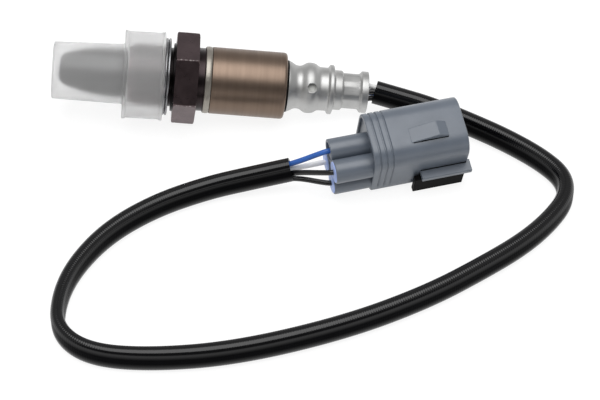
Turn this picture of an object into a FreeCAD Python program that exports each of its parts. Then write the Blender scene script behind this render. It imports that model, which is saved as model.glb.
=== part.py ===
import FreeCAD, Part
import math
import os
import re

import Sketcher

# Oxygen sensor with its lead and plug, lying on a table. Millimetres, +Z up, the table is z = 0.
# +X runs from the transit cap to the cable end, and +Y away from the viewer.
# The sensor's own axis is its local X, counted from the front face of the hexagon.

SIZES = {
    # shell with thread and hexagon
    "hex_flats": 22.0,
    "hex_length": 6.3,
    "hex_roll": 38.0,
    "hex_chamfer": 0.25,
    "collar_radius": 10.6,
    "collar_length": 0.6,
    "thread_radius": 9.0,
    "thread_length": 9.6,
    "thread_chamfer": 0.8,
    "relief_radius": 8.1,
    "relief_length": 1.8,
    "nose_radius": 8.0,
    "nose_length": 1.1,
    "neck_radius": 8.7,
    "neck_length": 1.9,
    "boss_length": 4.4,
    "pocket_radius": 6.6,
    "pocket_depth": 1.0,
    "bore_radius": 3.6,
    # crush gasket
    "gasket_inner_radius": 9.1,
    "gasket_radius": 10.7,
    "gasket_height": 2.3,
    "gasket_fold": 0.45,
    # transit cap of soft clear plastic
    "cap_wall": 0.9,
    "cap_tip_radius": 7.85,
    "cap_base_radius": 8.3,
    "cap_skirt_radius": 11.95,
    "cap_skirt_wall": 1.3,
    "cap_lip_radius": 12.2,
    "cap_lip_length": 0.9,
    "cap_tip_gap": 0.9,
    "push_fit": 0.05,
    # perforated protectors over the element
    "protector_radius": 6.7,
    "protector_wall": 0.5,
    "protector_length": 20.6,
    "protector_taper": 9.1,
    "protector_crown": 1.8,
    "protector_shoulder_radius": 5.2,
    "protector_tip_radius": 3.4,
    "protector_seat_depth": 2.1,
    "protector_round": 2.5,
    "port_radius": 0.9,
    "port_station": 6.5,
    "port_count": 6.0,
    "inner_protector_radius": 4.8,
    "inner_protector_length": 16.6,
    "inner_protector_wall": 0.4,
    "inner_protector_flange": 0.6,
    "inner_port_station": 4.5,
    "inner_port_count": 4.0,
    # ceramic element, heater and packing
    "element_collar_radius": 6.5,
    "element_collar_length": 3.2,
    "element_body_radius": 4.4,
    "element_body_length": 17.3,
    "element_root_radius": 3.4,
    "element_tip_radius": 1.7,
    "element_tip_length": 26.0,
    "element_bore_radius": 1.6,
    "element_tip_wall": 1.5,
    "heater_radius": 1.5,
    "heater_projection": 4.0,
    "talc_length": 3.0,
    "bushing_length": 2.5,
    "lock_ring_length": 1.3,
    "lock_ring_radius": 4.9,
    # casing
    "ring_radius": 9.25,
    "ring_length": 1.9,
    "casing_radius": 9.2,
    "casing_wall": 0.8,
    "casing_length": 20.1,
    "casing_round": 1.2,
    # vented and crimped upper cap, stations from the casing's end
    "vent_wall": 0.5,
    "vent_skirt_radius": 7.1,
    "vent_skirt_depth": 6.0,
    "vent_lip": 1.6,
    "vent_crimp_radius": 5.95,
    "vent_crimp_start": 4.2,
    "vent_crimp_end": 5.9,
    "vent_bulge_radius": 7.05,
    "vent_bulge_start": 7.5,
    "vent_bulge_end": 9.0,
    "vent_second_crimp_radius": 6.0,
    "vent_second_crimp_start": 10.4,
    "vent_second_crimp_end": 12.1,
    "vent_rib_radius": 6.85,
    "vent_rib_start": 12.5,
    "vent_rib_end": 13.6,
    "vent_step_radius": 5.5,
    "vent_step_start": 13.9,
    "vent_step_end": 16.0,
    "vent_groove_radius": 4.9,
    "vent_groove_start": 16.4,
    "vent_groove_end": 20.9,
    "vent_flange_radius": 5.75,
    "vent_flange_start": 21.4,
    "vent_cap_length": 23.2,
    "vent_hole_radius": 1.25,
    "vent_hole_count": 4.0,
    "vent_hole_angle": 42.0,
    "crimp_flat_count": 8.0,
    "crimp_flat_depth": 0.2,
    "crimp_flat_width": 2.6,
    # filter, inner cover, contacts and grommet
    "filter_wall": 0.5,
    "cover_wall": 0.35,
    "cover_radius": 4.9,
    "cover_start": 4.2,
    "cover_end": 13.5,
    "holder_clearance": 0.05,
    "holder_start": 10.0,
    "holder_end": 11.8,
    "contact_width": 1.9,
    "contact_thickness": 0.5,
    "contact_gap": 0.05,
    "contact_projection": 0.5,
    "grommet_recess": 0.8,
    # lead wires and harness sleeve
    "wire_radius": 0.7,
    "wire_spread": 1.34,
    "wire_squeeze": 0.9,
    "wire_exit": 1.2,
    "wire_bend": 3.6,
    "harness_height": 7.2,
    "harness_width": 4.2,
    # plug housing, from its rear face along its length
    "plug_length": 26.2,
    "plug_half_width": 8.5,
    "plug_top": 8.5,
    "plug_bottom": 9.2,
    "plug_top_round": 5.0,
    "plug_bottom_round": 2.0,
    "plug_wall": 1.6,
    "plug_yaw": 14.5,
    "plug_roll": 17.0,
    "plug_place_x": 42.5,
    "plug_place_y": -27.2,
    "socket_depth": 14.0,
    "rear_rim": 0.9,
    "rear_recess": 1.8,
    "rib_start": 1.5,
    "rib_width": 0.45,
    "rib_depth": 0.3,
    "rib_spacing": 3.4,
    "rib_count": 3.0,
    "tube_radius": 3.25,
    "tube_pitch": 6.4,
    "tube_length": 10.0,
    "cluster_side": 1.7,
    "cluster_drop": 2.7,
    "seal_bore_radius": 2.5,
    "seal_bore_depth": 8.0,
    "ramp_start": 10.6,
    "ramp_crest": 18.2,
    "ramp_end": 21.0,
    "ramp_height": 1.9,
    "ramp_width": 4.4,
    "ramp_side": 2.3,
    "ledge_start": 13.1,
    "ledge_reach": 2.7,
    "ledge_overhang": 0.8,
    "ledge_top": 1.0,
    "ledge_thickness": 1.5,
    "foot_reach": 0.5,
    "foot_start": 14.5,
    "foot_length": 9.0,
    "foot_top": 4.5,
    "foot_height": 3.2,
    # seals, pins, retainer and mounting clip
    "seal_recess": 0.3,
    "seal_waist_radius": 2.1,
    "pin_barrel_radius": 1.25,
    "blade_seat": 3.2,
    "pin_barrel_start": 1.8,
    "pin_width": 2.2,
    "pin_thickness": 0.8,
    "pin_length": 13.0,
    "pin_clearance": 0.05,
    "retainer_thickness": 1.2,
    "retainer_gap": 0.1,
    "clip_start": 11.4,
    "clip_length": 13.9,
    "clip_thickness": 1.5,
    "clip_drop": 9.3,
    "clip_notch_length": 2.2,
    "clip_notch_depth": 1.4,
    "clip_notch_start": 9.6,
}

document = FreeCAD.newDocument("oxygen_sensor")
sheet = document.addObject("Spreadsheet::Sheet", "dims")
for row, (alias, number) in enumerate(SIZES.items(), start=1):
    sheet.set(f"A{row}", alias.replace("_", " "))
    sheet.set(f"B{row}", str(number))
    sheet.setAlias(f"B{row}", alias)
document.recompute()


def bound(text):
    """The expression with each size's name looked up in the sheet."""
    return re.sub(r"[a-z]\w+", lambda found: f"dims.{found[0]}" if found[0] in SIZES else found[0], text)


def value(text):
    """The expression's present number."""
    return float(sheet.evalExpression(bound(text)))


# Stations along the sensor's axis, from the hexagon's front face
SEAT = "(-collar_length)"
GASKET_FRONT = f"({SEAT} - gasket_height)"
RELIEF_FRONT = f"({SEAT} - relief_length)"
THREAD_FRONT = f"({RELIEF_FRONT} - thread_length)"
NOSE = f"({THREAD_FRONT} - nose_length)"
PROTECTOR_SEAT = f"({NOSE} + protector_seat_depth)"
PROTECTOR_TIP = f"({PROTECTOR_SEAT} - protector_length)"
POCKET_FLOOR = "(-pocket_depth)"
PACKING_START = f"({POCKET_FLOOR} + element_collar_length)"
BUSHING_START = f"({PACKING_START} + talc_length)"
LOCK_START = f"({BUSHING_START} + bushing_length)"
ELEMENT_END = f"({PACKING_START} + element_body_length)"
ELEMENT_TIP = f"({POCKET_FLOOR} - element_tip_length)"
NECK_END = "(hex_length + neck_length)"
RING_END = f"({NECK_END} + ring_length)"
BOSS_END = f"({NECK_END} + boss_length)"
CASING_END = f"({RING_END} + casing_length)"
CASING_BORE = "(casing_radius - casing_wall)"
CAP_SHOULDER = f"({NOSE} - cap_wall)"
CAP_TIP = f"({PROTECTOR_TIP} - cap_tip_gap - cap_wall)"
VENT_END = f"({CASING_END} + vent_cap_length)"
HOLDER_START = f"({CASING_END} - holder_start)"
HOLDER_END = f"({CASING_END} + holder_end)"
GROMMET_START = f"({CASING_END} + cover_end)"
GROMMET_END = f"({VENT_END} - grommet_recess)"
WIRE_START = f"({HOLDER_END} + contact_projection)"
BARREL_END = "(plug_length - socket_depth - blade_seat)"

# The sensor lies on the hexagon's lowest corner and on the rounded end of its casing
corner_radius = value("hex_flats") / 2 / math.cos(math.radians(30))
corner_angle = math.radians(value("hex_roll") % 60)
lowest_corner = corner_radius * math.cos(min(corner_angle, math.radians(60) - corner_angle))
corner_station = value("hex_length - hex_chamfer")
rest_span = value(f"{CASING_END} - casing_round") - corner_station
rest_drop = lowest_corner - value("casing_radius - casing_round")
tilt = math.acos(value("casing_round") / math.hypot(rest_drop, rest_span)) - math.atan2(rest_span, rest_drop)
axis_height = corner_station * math.sin(tilt) + lowest_corner * math.cos(tilt)
back_end = value(CAP_TIP) * math.cos(tilt) - value("cap_tip_radius") * math.sin(tilt)
front_end = value(VENT_END) * math.cos(tilt) + value("vent_flange_radius") * math.sin(tilt)
sensor_place = FreeCAD.Placement(
    FreeCAD.Vector(-(back_end + front_end) / 2, 0, axis_height),
    FreeCAD.Rotation(FreeCAD.Vector(0, 1, 0), math.degrees(tilt)),
)

# The plug leans on the lower edge of its mounting clip
roll = math.radians(value("plug_roll"))
clip_face = value("plug_half_width + foot_reach + clip_thickness")
plug_height = clip_face * math.sin(roll) + value("clip_drop") * math.cos(roll)
plug_place = FreeCAD.Placement(
    FreeCAD.Vector(value("plug_place_x"), value("plug_place_y"), plug_height),
    FreeCAD.Rotation(FreeCAD.Vector(0, 0, 1), value("plug_yaw")).multiply(
        FreeCAD.Rotation(FreeCAD.Vector(1, 0, 0), value("plug_roll"))
    ),
)

pieces = []


def new_body(label, place):
    """An empty body for one sub-part."""
    body = document.addObject("PartDesign::Body", label)
    body.Label = label
    body.Placement = place
    pieces.append(body)
    return body


def new_sketch(body, name, role, offset=None):
    """A sketch on one of the body's own origin planes, raised by an offset along the plane's normal."""
    sketch = body.newObject("Sketcher::SketchObject", f"{body.Name}_{name}")
    plane = [feature for feature in body.Origin.OriginFeatures if feature.Role == role][0]
    sketch.AttachmentSupport = [(plane, "")]
    sketch.MapMode = "FlatFace"
    if offset:
        sketch.setExpression("AttachmentOffset.Base.z", bound(offset))
    return sketch


def hold(sketch, kind, first, second, text):
    """One driven distance between two points of a sketch, each given as its geometry and end."""
    number = value(text)
    index = sketch.addConstraint(Sketcher.Constraint(kind, *first, *second, number))
    sketch.setExpression(f"Constraints[{index}]", bound(text))


def polygon(sketch, points):
    """A closed outline of straight lines, each corner held by its two distances from the origin."""
    start = sketch.GeometryCount
    spots = [FreeCAD.Vector(value(across), value(up), 0) for across, up in points]
    for index, spot in enumerate(spots):
        sketch.addGeometry(Part.LineSegment(spot, spots[(index + 1) % len(spots)]), False)
    for index, (across, up) in enumerate(points):
        following = start + (index + 1) % len(points)
        sketch.addConstraint(Sketcher.Constraint("Coincident", start + index, 2, following, 1))
        hold(sketch, "DistanceX", (-1, 1), (start + index, 1), across)
        if up == "0":
            sketch.addConstraint(Sketcher.Constraint("PointOnObject", start + index, 1, -1))
        else:
            hold(sketch, "DistanceY", (-1, 1), (start + index, 1), up)


def circle(sketch, across, up, radius):
    """A circle with driven centre and radius."""
    index = sketch.GeometryCount
    centre = FreeCAD.Vector(value(across), value(up), 0)
    sketch.addGeometry(Part.Circle(centre, FreeCAD.Vector(0, 0, 1), value(radius)), False)
    hold(sketch, "DistanceX", (-1, 1), (index, 3), across)
    if up == "0":
        sketch.addConstraint(Sketcher.Constraint("PointOnObject", index, 3, -1))
    else:
        hold(sketch, "DistanceY", (-1, 1), (index, 3), up)
    number = sketch.addConstraint(Sketcher.Constraint("Radius", index, value(radius)))
    sketch.setExpression(f"Constraints[{number}]", bound(radius))


def housing_outline(sketch, inset):
    """The plug's section, rounder at its top than at its bottom, drawn inwards by the inset."""
    side = f"(plug_half_width - {inset})"
    top = f"(plug_top - {inset})"
    bottom = f"(-(plug_bottom - {inset}))"
    # a sharp inner corner still needs an arc to be tangent to
    rounds = (f"max(plug_bottom_round - {inset}; 0.4)", f"max(plug_top_round - {inset}; 0.4)")
    low, high = value(rounds[0]), value(rounds[1])
    half, upper, lower = value(side), value(top), value(bottom)
    corners = (
        (half, lower, low, -90),
        (half, upper, high, 0),
        (-half, upper, high, 90),
        (-half, lower, low, 180),
    )
    start = sketch.GeometryCount
    for across, up, radius, turned in corners:
        centre = FreeCAD.Vector(across - math.copysign(radius, across), up - math.copysign(radius, up), 0)
        ring = Part.Circle(centre, FreeCAD.Vector(0, 0, 1), radius)
        sketch.addGeometry(Part.ArcOfCircle(ring, math.radians(turned), math.radians(turned + 90)), False)
    for index in range(4):
        tail = sketch.getPoint(start + index, 2)
        head = sketch.getPoint(start + (index + 1) % 4, 1)
        sketch.addGeometry(Part.LineSegment(tail, head), False)
    for index in range(4):
        line = start + 4 + index
        sketch.addConstraint(Sketcher.Constraint("Tangent", start + index, 2, line, 1))
        sketch.addConstraint(Sketcher.Constraint("Tangent", line, 2, start + (index + 1) % 4, 1))
        sketch.addConstraint(Sketcher.Constraint("Vertical" if index % 2 == 0 else "Horizontal", line))
        number = sketch.addConstraint(Sketcher.Constraint("Radius", start + index, corners[index][2]))
        sketch.setExpression(f"Constraints[{number}]", bound(rounds[index in (1, 2)]))
    hold(sketch, "DistanceX", (-1, 1), (start + 4, 1), side)
    hold(sketch, "DistanceX", (-1, 1), (start + 6, 1), f"(-{side})")
    hold(sketch, "DistanceY", (-1, 1), (start + 5, 1), top)
    hold(sketch, "DistanceY", (-1, 1), (start + 7, 1), bottom)


def turned(label, points, place=sensor_place):
    """A piece turned about its own X axis from an outline of stations and radii."""
    body = new_body(label, place)
    sketch = new_sketch(body, "profile", "XY_Plane")
    polygon(sketch, points)
    turning = body.newObject("PartDesign::Revolution", f"{label}_turning")
    turning.Profile = sketch
    turning.ReferenceAxis = (sketch, ["H_Axis"])
    turning.Angle = 360
    document.recompute()
    return body


def padded(body, name, sketch, length, both_ways=False, backwards=False):
    """Material added from a sketch."""
    pad = body.newObject("PartDesign::Pad", f"{body.Name}_{name}")
    pad.Profile = sketch
    pad.setExpression("Length", bound(length))
    pad.Midplane = both_ways
    pad.Reversed = backwards
    document.recompute()
    return pad


def pocketed(body, name, sketch, length, backwards=False, both_ways=False):
    """Material cut from a sketch; the volume shows that the cut meets the piece."""
    before = body.Shape.Volume
    pocket = body.newObject("PartDesign::Pocket", f"{body.Name}_{name}")
    pocket.Profile = sketch
    pocket.setExpression("Length", bound(length))
    pocket.Reversed = backwards
    pocket.Midplane = both_ways
    document.recompute()
    if body.Shape.Volume >= before:
        raise ValueError(f"{body.Label}: {name} cuts nothing")
    return pocket


def around(body, feature, count, name):
    """The feature repeated evenly about the body's X axis."""
    pattern = body.newObject("PartDesign::PolarPattern", f"{body.Name}_{name}")
    pattern.Originals = [feature]
    axis = [item for item in body.Origin.OriginFeatures if item.Role == "X_Axis"][0]
    pattern.Axis = (axis, [""])
    pattern.Angle = 360
    pattern.setExpression("Occurrences", bound(count))
    body.Tip = pattern
    document.recompute()
    return pattern


def ring_edges(feature, rings):
    """Names of the feature's circular edges about X at the given stations and radii."""
    wanted = [(value(station), value(radius)) for station, radius in rings]
    names = []
    for index, edge in enumerate(feature.Shape.Edges, start=1):
        if not isinstance(edge.Curve, Part.Circle):
            continue
        centre, radius = edge.Curve.Center, edge.Curve.Radius
        for station, size in wanted:
            if abs(centre.x - station) < 1e-4 and abs(radius - size) < 1e-4:
                names.append(f"Edge{index}")
    return names


def rounded(body, rings, radius, name):
    """Rounds the circular edges at the given stations and radii."""
    feature = body.Tip
    fillet = body.newObject("PartDesign::Fillet", f"{body.Name}_{name}")
    fillet.Base = (feature, ring_edges(feature, rings))
    fillet.setExpression("Radius", bound(radius))
    document.recompute()
    return fillet


# Transit cap: a stepped cup pushed over the protector, its mouth against the gasket
def make_transit_cap():
    bore = "(protector_radius + push_fit)"
    skirt_bore = "(cap_skirt_radius - cap_skirt_wall)"
    body = turned("transit_cap", [
        (CAP_TIP, "0"),
        (CAP_TIP, "cap_tip_radius"),
        (CAP_SHOULDER, "cap_base_radius"),
        (CAP_SHOULDER, "cap_lip_radius"),
        (f"{CAP_SHOULDER} + cap_lip_length", "cap_lip_radius"),
        (f"{CAP_SHOULDER} + cap_lip_length", "cap_skirt_radius"),
        (f"{GASKET_FRONT} - cap_lip_length", "cap_skirt_radius"),
        (f"{GASKET_FRONT} - cap_lip_length", "cap_lip_radius"),
        (GASKET_FRONT, "cap_lip_radius"),
        (GASKET_FRONT, skirt_bore),
        (f"{CAP_SHOULDER} + cap_wall", skirt_bore),
        (f"{CAP_SHOULDER} + cap_wall", bore),
        (f"{CAP_TIP} + cap_wall", bore),
        (f"{CAP_TIP} + cap_wall", "0"),
    ])
    rounded(body, [(CAP_TIP, "cap_tip_radius")], "cap_wall * 0.6", "tip_edge")


# Protectors: drawn steel thimbles with gas ports
def port_row(body, name, station, radius, count):
    sketch = new_sketch(body, name, "XY_Plane")
    circle(sketch, station, "0", "port_radius")
    port = pocketed(body, f"{name}_cut", sketch, radius, backwards=True)
    around(body, port, count, f"{name}_row")


def make_protectors():
    crown = f"({PROTECTOR_TIP} + protector_crown)"
    taper = f"({PROTECTOR_TIP} + protector_taper)"
    inside = f"({PROTECTOR_TIP} + protector_wall)"
    body = turned("outer_protector", [
        (PROTECTOR_TIP, "0"),
        (PROTECTOR_TIP, "protector_tip_radius"),
        (crown, "protector_shoulder_radius"),
        (taper, "protector_radius"),
        (PROTECTOR_SEAT, "protector_radius"),
        (PROTECTOR_SEAT, "protector_radius - protector_wall"),
        (taper, "protector_radius - protector_wall"),
        (f"{crown} + protector_wall / 2", "protector_shoulder_radius - protector_wall"),
        (inside, "protector_tip_radius - protector_wall / 2"),
        (inside, "0"),
    ])
    port_row(body, "port", f"{PROTECTOR_SEAT} - port_station", "protector_radius + port_radius", "port_count")

    tip = f"({PROTECTOR_SEAT} - inner_protector_length)"
    flange = f"({PROTECTOR_SEAT} - inner_protector_flange)"
    inner = "(inner_protector_radius - inner_protector_wall)"
    body = turned("inner_protector", [
        (tip, "0"),
        (tip, f"{inner} - inner_protector_wall"),
        (f"{tip} + 2 * inner_protector_wall", "inner_protector_radius"),
        (flange, "inner_protector_radius"),
        (flange, "protector_radius - protector_wall"),
        (PROTECTOR_SEAT, "protector_radius - protector_wall"),
        (PROTECTOR_SEAT, inner),
        (f"{tip} + 3 * inner_protector_wall", inner),
        (f"{tip} + inner_protector_wall", f"{inner} - 2 * inner_protector_wall"),
        (f"{tip} + inner_protector_wall", "0"),
    ])
    station = f"{PROTECTOR_SEAT} - inner_port_station"
    port_row(body, "port", station, "inner_protector_radius + port_radius", "inner_port_count")


# Shell: thread, gasket seat, hexagon and the boss that carries the casing
def make_shell():
    body = turned("sensor_shell", [
        (NOSE, "protector_radius"),
        (NOSE, "nose_radius"),
        (THREAD_FRONT, "nose_radius"),
        (f"{THREAD_FRONT} + thread_chamfer", "thread_radius"),
        (RELIEF_FRONT, "thread_radius"),
        (RELIEF_FRONT, "relief_radius"),
        (SEAT, "relief_radius"),
        (SEAT, "collar_radius"),
        ("hex_length / 2", "collar_radius"),
        ("hex_length / 2", "neck_radius"),
        (NECK_END, "neck_radius"),
        (NECK_END, CASING_BORE),
        (BOSS_END, CASING_BORE),
        (BOSS_END, "pocket_radius"),
        (POCKET_FLOOR, "pocket_radius"),
        (POCKET_FLOOR, "bore_radius"),
        (PROTECTOR_SEAT, "bore_radius"),
        (PROTECTOR_SEAT, "protector_radius"),
    ])
    sketch = new_sketch(body, "hexagon", "YZ_Plane")
    corner = "(hex_flats / 2 / cos(30 deg))"
    angles = [f"((hex_roll + {60 * step}) * 1 deg)" for step in range(6)]
    polygon(sketch, [(f"{corner} * sin({angle})", f"{corner} * cos({angle})") for angle in angles])
    circle(sketch, "0", "0", "neck_radius")
    padded(body, "hexagon_pad", sketch, "hex_length")
    # both ends of the hexagon are turned down to a chamfer, as on a bolt head
    for name, station, inwards in (("front", "0", "hex_chamfer"), ("back", "hex_length", "(-hex_chamfer)")):
        sketch = new_sketch(body, f"{name}_chamfer_profile", "XY_Plane")
        polygon(sketch, [
            (station, f"{corner} - 2 * hex_chamfer"),
            (f"{station} + {inwards} * 1.5", f"{corner} + hex_chamfer"),
            (f"{station} - {inwards}", f"{corner} + hex_chamfer"),
            (f"{station} - {inwards}", f"{corner} - 2 * hex_chamfer"),
        ])
        before = body.Shape.Volume
        groove = body.newObject("PartDesign::Groove", f"shell_{name}_chamfer")
        groove.Profile = sketch
        groove.ReferenceAxis = (sketch, ["H_Axis"])
        groove.Angle = 360
        document.recompute()
        if body.Shape.Volume >= before:
            raise ValueError("the hexagon's chamfer cuts nothing")


def make_gasket():
    middle = f"({SEAT} - gasket_height / 2)"
    turned("gasket_ring", [
        (GASKET_FRONT, "gasket_inner_radius"),
        (GASKET_FRONT, "gasket_radius - gasket_fold"),
        (f"{GASKET_FRONT} + gasket_fold", "gasket_radius"),
        (f"{middle} - gasket_fold", "gasket_radius"),
        (middle, "gasket_radius - gasket_fold"),
        (f"{middle} + gasket_fold", "gasket_radius"),
        (f"{SEAT} - gasket_fold", "gasket_radius"),
        (SEAT, "gasket_radius - gasket_fold"),
        (SEAT, "gasket_inner_radius"),
    ])


# Ceramic element with its heater, packed into the shell by talc, a bushing and a lock ring
def make_element():
    turned("sensing_element", [
        (ELEMENT_TIP, "0"),
        (ELEMENT_TIP, "element_tip_radius"),
        (f"{ELEMENT_TIP} + element_tip_wall", "element_tip_radius + element_tip_wall / 2"),
        (POCKET_FLOOR, "element_root_radius"),
        (POCKET_FLOOR, "element_collar_radius"),
        (PACKING_START, "element_collar_radius"),
        (PACKING_START, "element_body_radius"),
        (ELEMENT_END, "element_body_radius"),
        (ELEMENT_END, "element_bore_radius"),
        (f"{ELEMENT_TIP} + element_tip_wall", "element_bore_radius"),
        (f"{ELEMENT_TIP} + element_tip_wall", "0"),
    ])
    turned("heater_rod", [
        (f"{ELEMENT_TIP} + element_tip_wall", "0"),
        (f"{ELEMENT_TIP} + element_tip_wall", "heater_radius"),
        (f"{ELEMENT_END} + heater_projection", "heater_radius"),
        (f"{ELEMENT_END} + heater_projection", "0"),
    ])
    for label, start, end, inner in (
        ("talc_packing", PACKING_START, BUSHING_START, "element_body_radius"),
        ("ceramic_bushing", BUSHING_START, LOCK_START, "element_body_radius"),
        ("lock_ring", LOCK_START, f"{LOCK_START} + lock_ring_length", "lock_ring_radius"),
    ):
        turned(label, [(start, inner), (start, "pocket_radius"), (end, "pocket_radius"), (end, inner)])


# Casing: the weld ring, the drawn sleeve and the vented cap crimped over the grommet
def make_casing():
    turned("weld_ring", [
        (NECK_END, CASING_BORE),
        (NECK_END, "ring_radius"),
        (RING_END, "ring_radius"),
        (RING_END, CASING_BORE),
    ])
    body = turned("outer_casing", [
        (RING_END, CASING_BORE),
        (RING_END, "casing_radius"),
        (CASING_END, "casing_radius"),
        (CASING_END, "vent_skirt_radius"),
        (f"{CASING_END} - casing_wall", "vent_skirt_radius"),
        (f"{CASING_END} - casing_wall", CASING_BORE),
    ])
    rounded(body, [(CASING_END, "casing_radius")], "casing_round", "end_round")


def vent_outline(inset):
    """Stations and radii of the upper cap's wall, drawn inwards by the inset."""
    lines = (
        ("-vent_skirt_depth", "vent_skirt_radius"),
        ("vent_lip", "vent_skirt_radius"),
        ("vent_crimp_start", "vent_crimp_radius"),
        ("vent_crimp_end", "vent_crimp_radius"),
        ("vent_bulge_start", "vent_bulge_radius"),
        ("vent_bulge_end", "vent_bulge_radius"),
        ("vent_second_crimp_start", "vent_second_crimp_radius"),
        ("vent_second_crimp_end", "vent_second_crimp_radius"),
        ("vent_rib_start", "vent_rib_radius"),
        ("vent_rib_end", "vent_rib_radius"),
        ("vent_step_start", "vent_step_radius"),
        ("vent_step_end", "vent_step_radius"),
        ("vent_groove_start", "vent_groove_radius"),
        ("vent_groove_end", "vent_groove_radius"),
        ("vent_flange_start", "vent_flange_radius"),
        ("vent_cap_length", "vent_flange_radius"),
    )
    return [(f"{CASING_END} + {station}", f"{radius} - {inset}") for station, radius in lines]


def make_vented_cap():
    body = turned("vented_cap", vent_outline("0") + vent_outline("vent_wall")[::-1])
    # the first vent faces the viewer; the sketch plane is turned there about the axis
    sketch = new_sketch(body, "vent", "XY_Plane")
    sketch.setExpression("AttachmentOffset.Rotation.Axis.x", "1")
    sketch.setExpression("AttachmentOffset.Rotation.Axis.z", "0")
    sketch.setExpression("AttachmentOffset.Rotation.Angle", bound("vent_hole_angle"))
    circle(sketch, f"{CASING_END} + (vent_bulge_start + vent_bulge_end) / 2", "0", "vent_hole_radius")
    hole = pocketed(body, "vent_cut", sketch, "vent_bulge_radius + vent_hole_radius", backwards=True)
    around(body, hole, "vent_hole_count", "vents")
    # the crimping jaws leave flats round the groove
    sketch = new_sketch(body, "flat", "XY_Plane", "vent_groove_radius - crimp_flat_depth")
    start = f"{CASING_END} + vent_groove_start"
    end = f"{CASING_END} + vent_groove_end"
    polygon(sketch, [
        (start, "-crimp_flat_width / 2"),
        (end, "-crimp_flat_width / 2"),
        (end, "crimp_flat_width / 2"),
        (start, "crimp_flat_width / 2"),
    ])
    flat = pocketed(body, "flat_cut", sketch, "crimp_flat_depth * 2", backwards=True)
    around(body, flat, "crimp_flat_count", "flats")


# Inside the casing: the filter behind the vents, the cover, the contact holder and the grommet
def make_inner_pieces():
    filter_radius = "(vent_crimp_radius - vent_wall)"
    start = f"({CASING_END} + vent_crimp_start)"
    end = f"({CASING_END} + vent_second_crimp_end)"
    turned("vent_filter", [
        (start, f"{filter_radius} - filter_wall"),
        (start, filter_radius),
        (end, filter_radius),
        (end, f"{filter_radius} - filter_wall"),
    ])
    start = f"({CASING_END} - cover_start)"
    turned("inner_cover", [
        (start, "cover_radius - cover_wall"),
        (start, "vent_skirt_radius - vent_wall"),
        (f"{start} + cover_wall", "vent_skirt_radius - vent_wall"),
        (f"{start} + cover_wall", "cover_radius"),
        (GROMMET_START, "cover_radius"),
        (GROMMET_START, "cover_radius - cover_wall"),
    ])
    holder_radius = "(cover_radius - cover_wall - holder_clearance)"
    body = turned("contact_holder", [
        (HOLDER_START, "element_bore_radius"),
        (HOLDER_START, holder_radius),
        (HOLDER_END, holder_radius),
        (HOLDER_END, "0"),
        (f"{ELEMENT_END} + heater_projection", "0"),
        (f"{ELEMENT_END} + heater_projection", "element_bore_radius"),
    ])
    middle = "wire_spread / cos(45 deg)"
    slot_half = "(contact_width / 2 + contact_gap)"
    slot_depth = "(contact_thickness / 2 + contact_gap)"
    sketch = new_sketch(body, "slot", "YZ_Plane", HOLDER_START)
    sketch.setExpression("AttachmentOffset.Rotation.Angle", "45")
    polygon(sketch, [
        (f"-{slot_half}", f"{middle} - {slot_depth}"),
        (slot_half, f"{middle} - {slot_depth}"),
        (slot_half, f"{middle} + {slot_depth}"),
        (f"-{slot_half}", f"{middle} + {slot_depth}"),
    ])
    slot = pocketed(body, "slot_cut", sketch, f"{HOLDER_END} - {HOLDER_START}", backwards=True)
    around(body, slot, "4", "slots")
    body = turned("grommet", [
        (GROMMET_START, "0"),
        (GROMMET_START, "vent_groove_radius - vent_wall"),
        (GROMMET_END, "vent_groove_radius - vent_wall"),
        (GROMMET_END, "0"),
    ])
    sketch = new_sketch(body, "lead_hole", "YZ_Plane", GROMMET_START)
    circle(sketch, "wire_spread", "wire_spread", "wire_radius")
    hole = pocketed(body, "lead_hole_cut", sketch, f"{GROMMET_END} - {GROMMET_START}", backwards=True)
    around(body, hole, "4", "lead_holes")


CORNERS = {
    "blue": (1, 1),
    "white": (1, -1),
    "black_upper": (-1, 1),
    "black_lower": (-1, -1),
}


def make_contacts():
    """Four strips through the holder, from the element's end to the lead wires."""
    middle = "wire_spread / cos(45 deg)"
    for colour, (far, high) in CORNERS.items():
        turn = math.degrees(math.atan2(-far, high))
        spin = FreeCAD.Placement(FreeCAD.Vector(), FreeCAD.Rotation(FreeCAD.Vector(1, 0, 0), turn))
        body = new_body(f"contact_{colour}", sensor_place.multiply(spin))
        sketch = new_sketch(body, "strip", "XZ_Plane")
        polygon(sketch, [
            (ELEMENT_END, f"{middle} - contact_thickness / 2"),
            (WIRE_START, f"{middle} - contact_thickness / 2"),
            (WIRE_START, f"{middle} + contact_thickness / 2"),
            (ELEMENT_END, f"{middle} + contact_thickness / 2"),
        ])
        padded(body, "strip_pad", sketch, "contact_width", both_ways=True)


# Plug housing: the shroud, its socket, the four seal tubes, latch ramp and mounting rail
def tube_centres():
    """Places of the four tubes across the plug: towards the far side, then up."""
    middle = ("(-cluster_side)", "(-cluster_drop)")
    return {
        colour: (f"({middle[0]} + {far} * tube_pitch / 2)", f"({middle[1]} + {high} * tube_pitch / 2)")
        for colour, (far, high) in CORNERS.items()
    }


def rectangle(sketch, low_x, high_x, low_y, high_y):
    """An upright rectangle held at its four corners."""
    polygon(sketch, [(low_x, low_y), (high_x, low_y), (high_x, high_y), (low_x, high_y)])


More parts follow.
